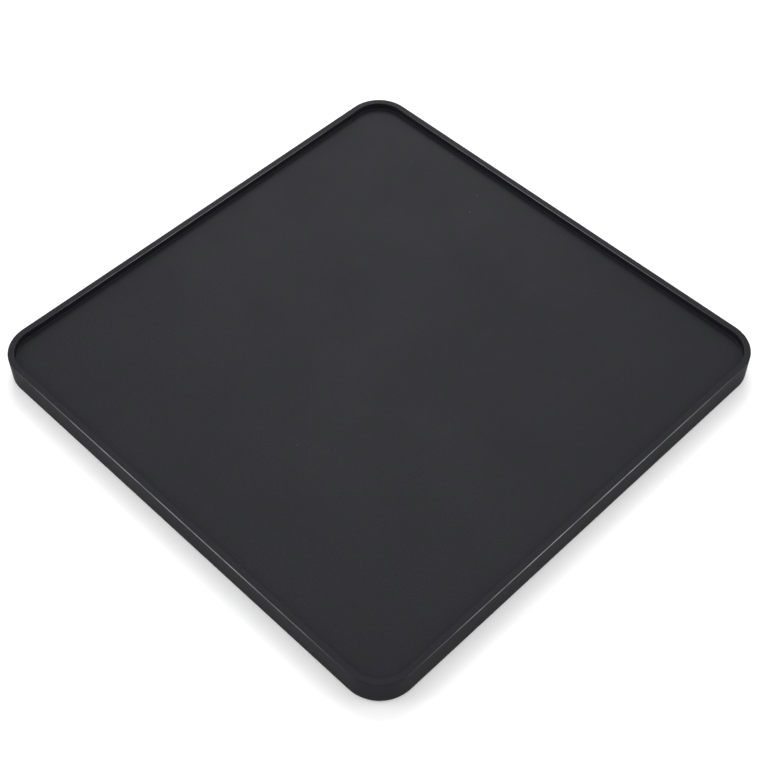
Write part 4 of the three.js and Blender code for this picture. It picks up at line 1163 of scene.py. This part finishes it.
strip = link_mesh("arm_terminal_strip", arm_terminal(), BRASS, flat_faces=True)
stand_for(strip, "thermostat_arm_terminal")
strip = link_mesh("fixed_terminal_strip", fixed_terminal(), BRASS, flat_faces=True)
stand_for(strip, "thermostat_fixed_terminal")
arm = rounded_slab(*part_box("bimetal_arm"), 0.6 * MM, 0.08 * MM)
arm = link_mesh("bimetal_spring_arm", arm, BIMETAL, flat_faces=True)
stand_for(arm, "bimetal_arm", "contact_arm")
lower, upper = (corner[2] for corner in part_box("moving_contact"))
button = link_mesh("moving_contact_button", contact_button(lower, upper), BRASS)
stand_for(button, "moving_contact", "contact_arm")
print("thermostat terminals and arm ready")

# %% Make its strap
def strap_mesh():
    """A strip of steel bent down, along under the base and up again. Its middle line goes through the
    four bends as arcs, and each point of the section lies half the thickness to either side of it. The
    strip is that outline carried across its width."""
    low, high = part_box("thermostat_strap")
    thickness, bend = 0.8 * MM, 0.5 * MM
    middle_y = (low[1] + high[1]) / 2
    step = t_high[1] - t_middle[1] + CLEARANCE + thickness / 2
    end, deep, flat = (high[1] - low[1]) / 2, low[2] + thickness / 2, high[2] - thickness / 2
    half = np.vstack([
        arc((step - bend, deep + bend), bend, 270, 360, 5),
        arc((step + bend, flat - bend), bend, 180, 90, 5),
        [(end, flat)],
    ])
    line = np.vstack([half[::-1] * (-1, 1), half])
    tangent = np.gradient(line, axis=0)
    tangent /= np.linalg.norm(tangent, axis=1)[:, None]
    normal = tangent[:, ::-1] * (-1, 1)
    outline = np.vstack([line + normal * thickness / 2, (line - normal * thickness / 2)[::-1]])
    count = len(outline)
    y, z = outline[:, 0] + middle_y, outline[:, 1]
    verts = np.vstack([np.column_stack([np.full(count, x), y, z]) for x in (low[0], high[0])])
    faces = [(i, (i + 1) % count, (i + 1) % count + count, i + count) for i in range(count)]
    for i in range(count // 2 - 1):
        j, k = i + 1, count - 1 - i
        faces += [(i, j, k - 1, k), (i + count, k + count, k - 1 + count, j + count)]
    mesh = bpy.data.meshes.new("strap")
    mesh.from_pydata(verts.tolist(), [], faces)
    holes = []
    for name in STRAP_SCREWS:
        holes.append(hole_through("thermostat_strap", 1.3 * MM, *middle_of(name)[:2], steps=24))
    return shaped(facing_out(mesh), holes)


stand_for(link_mesh("thermostat_bent_strap", strap_mesh(), ZINC, flat_faces=True), "thermostat_strap")
print("strap ready")

# %% [markdown]
# ## Thermal fuse and its sleeve
# A one-shot fuse: a small metal can with a crimped groove, a bead of resin at one end and a wire at each.
# It sleeps in a woven glass sleeve. The sleeve's weave is two sets of helices that cross, which a product
# of two cosines draws as raised diamonds.

# %% Make the fuse and the sleeve
def fuse_mesh():
    """A turned profile along X: wire, resin cone, can with a groove near one end, and wire."""
    x, y, z = middle_of("thermal_fuse")
    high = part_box("thermal_fuse")[1]
    reach, radius = high[0] - x, high[2] - z
    lead, half, edge = 0.5 * MM, 5.5 * MM, 0.4 * MM
    groove = radius - 0.2 * MM
    profile = np.vstack([
        [(0, -reach), (lead, -reach), (lead, -half - 0.6 * MM), (1.2 * MM, -half)],
        arc((radius - edge, -half + edge), edge, 270, 360, 4),
        [(radius, half - 2.4 * MM), (groove, half - 2.1 * MM)],
        [(groove, half - 1.8 * MM), (radius, half - 1.5 * MM)],
        arc((radius - edge, half - edge), edge, 0, 90, 4),
        [(1.1 * MM, half), (lead, half + 0.6 * MM), (lead, reach), (0, reach)],
    ])
    return grid_mesh("fuse", turned(profile, (x, y, z), "X", 40), False, True)


def sleeve_mesh():
    """The outside radius rises by the height of a strand times the product of cos(n angle + k x) and
    cos(n angle - k x), where n is the number of strands and k is 2 pi over their spacing along X."""
    low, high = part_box("fuse_sleeve")
    _, y, z = middle_of("fuse_sleeve")
    strand = 0.12 * MM
    outer, bore = high[2] - z - strand, 2.4 * MM
    angle = np.linspace(0, 2 * np.pi, 96, endpoint=False)[None]
    along = np.linspace(low[0], high[0], 150)[:, None]
    strands, wave = 8, 2 * np.pi / (2.4 * MM)
    weave = np.cos(strands * angle + wave * along) * np.cos(strands * angle - wave * along)
    outside = outer + strand * weave
    ring = np.ones_like(angle)
    radii = np.vstack([bore * ring, outside, bore * ring])
    places = np.vstack([low[0] * ring, along * ring, high[0] * ring])
    points = np.stack([places, y + radii * np.cos(angle), z + radii * np.sin(angle)], axis=-1)
    return grid_mesh("sleeve", points, True, True)


stand_for(link_mesh("thermal_fuse_can", fuse_mesh(), ZINC), "thermal_fuse")
stand_for(link_mesh("woven_fuse_sleeve", sleeve_mesh(), GLASS_YARN, smooth_angle=60), "fuse_sleeve")
print("fuse and sleeve ready")

# %% [markdown]
# ## Terminal block
# A two-pole block of natural nylon holds two brass tubes. Each tube clamps a lead from both sides with
# two slotted screws, and one longer screw between the poles holds the block to the tray. The block is a
# rounded slab, with bores for the tubes, wells for the screws and a groove between the poles.

# %% Make the terminal block and its tubes
POLES = ("front", "rear")
block_low, block_high = (np.array(c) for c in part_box("terminal_block"))
block_x, block_y, pole_z = middle_of("terminal_block")
clamp_x = [middle_of("clamp_screw_front_" + side)[0] for side in ("left", "right")]
pole_y = {pole: middle_of("terminal_insert_" + pole)[1] for pole in POLES}

cutters = [hole_through("terminal_block", 1.5 * MM, block_x, block_y, steps=32)]
for y in pole_y.values():
    cutters.append(cylinder(2.4 * MM, block_low[0] - MM, block_high[0] + MM, (0, y, pole_z), "X", 48))
    cutters += [cylinder(1.8 * MM, block_low[2] - MM, pole_z, (x, y, 0), steps=32) for x in clamp_x]
groove, web = 0.8 * MM, 4 * MM
groove_ends = (block_low[0] - MM, block_x - web), (block_x + web, block_high[0] + MM)
for z in (block_low[2], block_high[2]):
    for left, right in groove_ends:
        ends = (left, block_y - groove, z - groove), (right, block_y + groove, z + groove)
        cutters.append(box_mesh(*ends))
block = shaped(rounded_slab(*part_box("terminal_block"), 1.5 * MM, 0.4 * MM), cutters)
stand_for(link_mesh("nylon_terminal_block", block, NYLON, flat_faces=True), "terminal_block")


def insert_mesh(node):
    """A thick-walled tube along X with rounded ends and two tapped holes from below."""
    low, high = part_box(node)
    x, y, z = middle_of(node)
    reach, outer, bore, edge = high[0] - x, high[2] - z, 1.3 * MM, 0.15 * MM
    profile = np.vstack([
        [(bore, -reach)],
        arc((outer - edge, -reach + edge), edge, 270, 360, 3),
        arc((outer - edge, reach - edge), edge, 0, 90, 3),
        [(bore, reach)],
    ])
    insert = solid_turned(profile, (x, y, z), "X", 40, closed=True)
    return shaped(insert, [cylinder(1.4 * MM, low[2] - MM, z, (at, y, 0), steps=24) for at in clamp_x])


for pole in POLES:
    node = "terminal_insert_" + pole
    stand_for(link_mesh(node + "_brass", insert_mesh(node), BRASS, flat_faces=True), node)
print("terminal block ready")

# %% [markdown]
# ## Socket
# The low-voltage socket sits in a round recess of the rear wall. Its flange is outside, on a soft seal,
# and a slotted ring nut pulls it tight from inside. The body, the pin and the seal are turned profiles.
# The bush carries a thread for the nut, which is again a radius that goes in and out with the angle.

# %% Make the socket
jack_low, jack_high = (np.array(c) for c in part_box("jack_body"))
jack_x, _, jack_z = middle_of("jack_body")
JACK = (jack_x, 0, jack_z)


def jack_body_mesh():
    """A closed profile of radius and Y, from the back plate round the outside to the flange and in
    through the bore. Between the back and the seal the outside carries the thread."""
    back, face = jack_low[1], jack_high[1]
    flange, bush, barrel, bore, pin_hole = jack_high[0] - jack_x, 3.6 * MM, 3.3 * MM, 2.95 * MM, 1.35 * MM
    seat, floor = face - 1.2 * MM, back + 7 * MM
    thread_start, thread_end = back + 7.8 * MM, seat - 0.3 * MM
    along = np.linspace(thread_start, thread_end, 46)
    edge = 0.3 * MM
    rear = np.vstack([
        arc((barrel - edge, back + edge), edge, 270, 360, 4),
        [(barrel, thread_start - 0.3 * MM)],
    ])
    front = np.vstack([
        [(bush, seat), (flange, seat)],
        arc((flange - edge, face - edge), edge, 0, 90, 4),
        arc((bore + edge, face - edge), edge, 90, 180, 4),
        [(bore, floor), (pin_hole, floor), (pin_hole, back)],
    ])
    rows = np.vstack([rear, np.stack([np.full_like(along, bush), along], axis=1), front])
    points = turned(rows, JACK, "Y", 64)
    angle = np.linspace(0, 2 * np.pi, 64, endpoint=False)[None]
    pitch, depth = 0.8 * MM, 0.18 * MM
    fade = np.clip((along - thread_start) / pitch, 0, 1) * np.clip((thread_end - along) / pitch, 0, 1)
    inwards = (thread(along[:, None], angle, pitch, depth) - depth) * fade[:, None]
    first = len(rear)
    points[first:first + len(along), :, 0] += inwards * np.sin(angle)
    points[first:first + len(along), :, 2] += inwards * np.cos(angle)
    return grid_mesh("jack", points, True, True)


def ring_profile(node, bore, edge):
    """A closed loop of radius and Y round the box of a ring: rounded by edge at its four corners."""
    low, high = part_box(node)
    outer = high[0] - jack_x
    corners = ((outer - edge, high[1] - edge, 0), (bore + edge, high[1] - edge, 90),
               (bore + edge, low[1] + edge, 180), (outer - edge, low[1] + edge, 270))
    return np.vstack([arc((r, y), edge, start, start + 90, 4) for r, y, start in corners])


def ring_nut_mesh():
    """A ring with four slots for a pin spanner."""
    low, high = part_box("jack_ring_nut")
    ring = ring_profile("jack_ring_nut", SOCKET_HOLE, 0.15 * MM)
    ring = solid_turned(ring, JACK, "Y", 64, closed=True)
    reach, slot = high[0] - jack_x + MM, 0.5 * MM
    depth = low[1] + 0.9 * MM
    slots = [
        box_mesh((jack_x - reach, low[1] - MM, jack_z - slot), (jack_x + reach, depth, jack_z + slot)),
        box_mesh((jack_x - slot, low[1] - MM, jack_z - reach), (jack_x + slot, depth, jack_z + reach)),
    ]
    return shaped(ring, slots)


def pin_mesh():
    """A turned pin with a rounded tip."""
    low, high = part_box("jack_pin")
    radius, chamfer, tip = high[0] - jack_x, 0.2 * MM, 0.6 * MM
    profile = np.vstack([
        [(0, low[1]), (radius - chamfer, low[1]), (radius, low[1] + chamfer)],
        arc((radius - tip, high[1] - tip), tip, 0, 90, 6),
        [(0, high[1])],
    ])
    return grid_mesh("pin", turned(profile, JACK, "Y", 40), False, True)


def tab_mesh(node):
    """A flat solder tab with a round hole near its far end."""
    low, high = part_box(node)
    slab = rounded_slab(low, high, 0.4 * MM, 0.08 * MM)
    return shaped(slab, [hole_through(node, 0.45 * MM, middle_of(node)[0], low[1] + MM, steps=24)])


stand_for(link_mesh("jack_moulded_body", jack_body_mesh(), SOCKET_BLACK, smooth_angle=50), "jack_body")
stand_for(link_mesh("jack_ring_nut_steel", ring_nut_mesh(), ZINC), "jack_ring_nut")
stand_for(link_mesh("jack_centre_pin", pin_mesh(), BRASS), "jack_pin")
seal = turned(ring_profile("jack_seal", SOCKET_HOLE, 0.2 * MM), JACK, "Y", 64)
seal = grid_mesh("seal", seal, True, True)
stand_for(link_mesh("jack_soft_seal", seal, RUBBER), "jack_seal")
for node in ("jack_tab_positive", "jack_tab_negative"):
    stand_for(link_mesh(node + "_brass", tab_mesh(node), BRASS, flat_faces=True), node)
print("socket ready")

# %% [markdown]
# ## Floor and light
# The mat lies on a plain white table. The strongest soft light stands high behind it, so the floor of the
# tray carries a sheen that fades towards the viewer, and the inside faces of the two far rims, which look
# away from that light, stay the darkest. Weaker ones at the left, the right and the front reach the outer
# walls, one overhead fills in, and the white sky and table keep the shadow round the mat faint.

# %% Set the floor and the lights
def soft_light(name, position, size, power):
    """A square white area light that faces the middle of the mat."""
    data = bpy.data.lights.new(name, "AREA")
    data.size, data.energy = size, power
    light = bpy.data.objects.new(name, data)
    turn = (-Vector(position)).to_track_quat("-Z", "Y").to_matrix().to_4x4()
    light.matrix_world = Matrix.Translation(position) @ turn
    bpy.context.scene.collection.objects.link(light)


SOFTBOXES = {  # place in metres, side in metres and power in watts
    "softbox_overhead": ((-0.1, -0.1, 1.8), 0.9, 3),
    "softbox_behind": ((0.95, 0.95, 1.6), 1.3, 26),
    "softbox_front": ((-1.1, -1.1, 1.5), 1.4, 5),
    "softbox_left": ((-1.3, 1.3, 1.0), 1.2, 12),
    "softbox_right": ((1.3, -1.3, 1.0), 1.2, 10),
}
for name, (position, size, power) in SOFTBOXES.items():
    soft_light(name, position, size, power)

world = bpy.data.worlds.new("studio")
world.use_nodes = True
feed(world.node_tree.nodes["Background"], {"Color": "#ffffff", "Strength": 0.65})
bpy.context.scene.world = world
bpy.context.scene.view_settings.view_transform = "Standard"

floor_material, _, floor_shader = new_material("white_table")
feed(floor_shader, {"Base Color": "#f4f4f4", "Roughness": 0.9, "Specular IOR Level": 0.1})
feed(floor_shader, {"Emission Color": "#ffffff", "Emission Strength": 0.12})
table_top = grid_mesh("table", np.stack(np.meshgrid([-6, 6], [-6, 6], [0], indexing="ij"), -1)[:, :, 0])
table = link_mesh("table", table_top, floor_material)
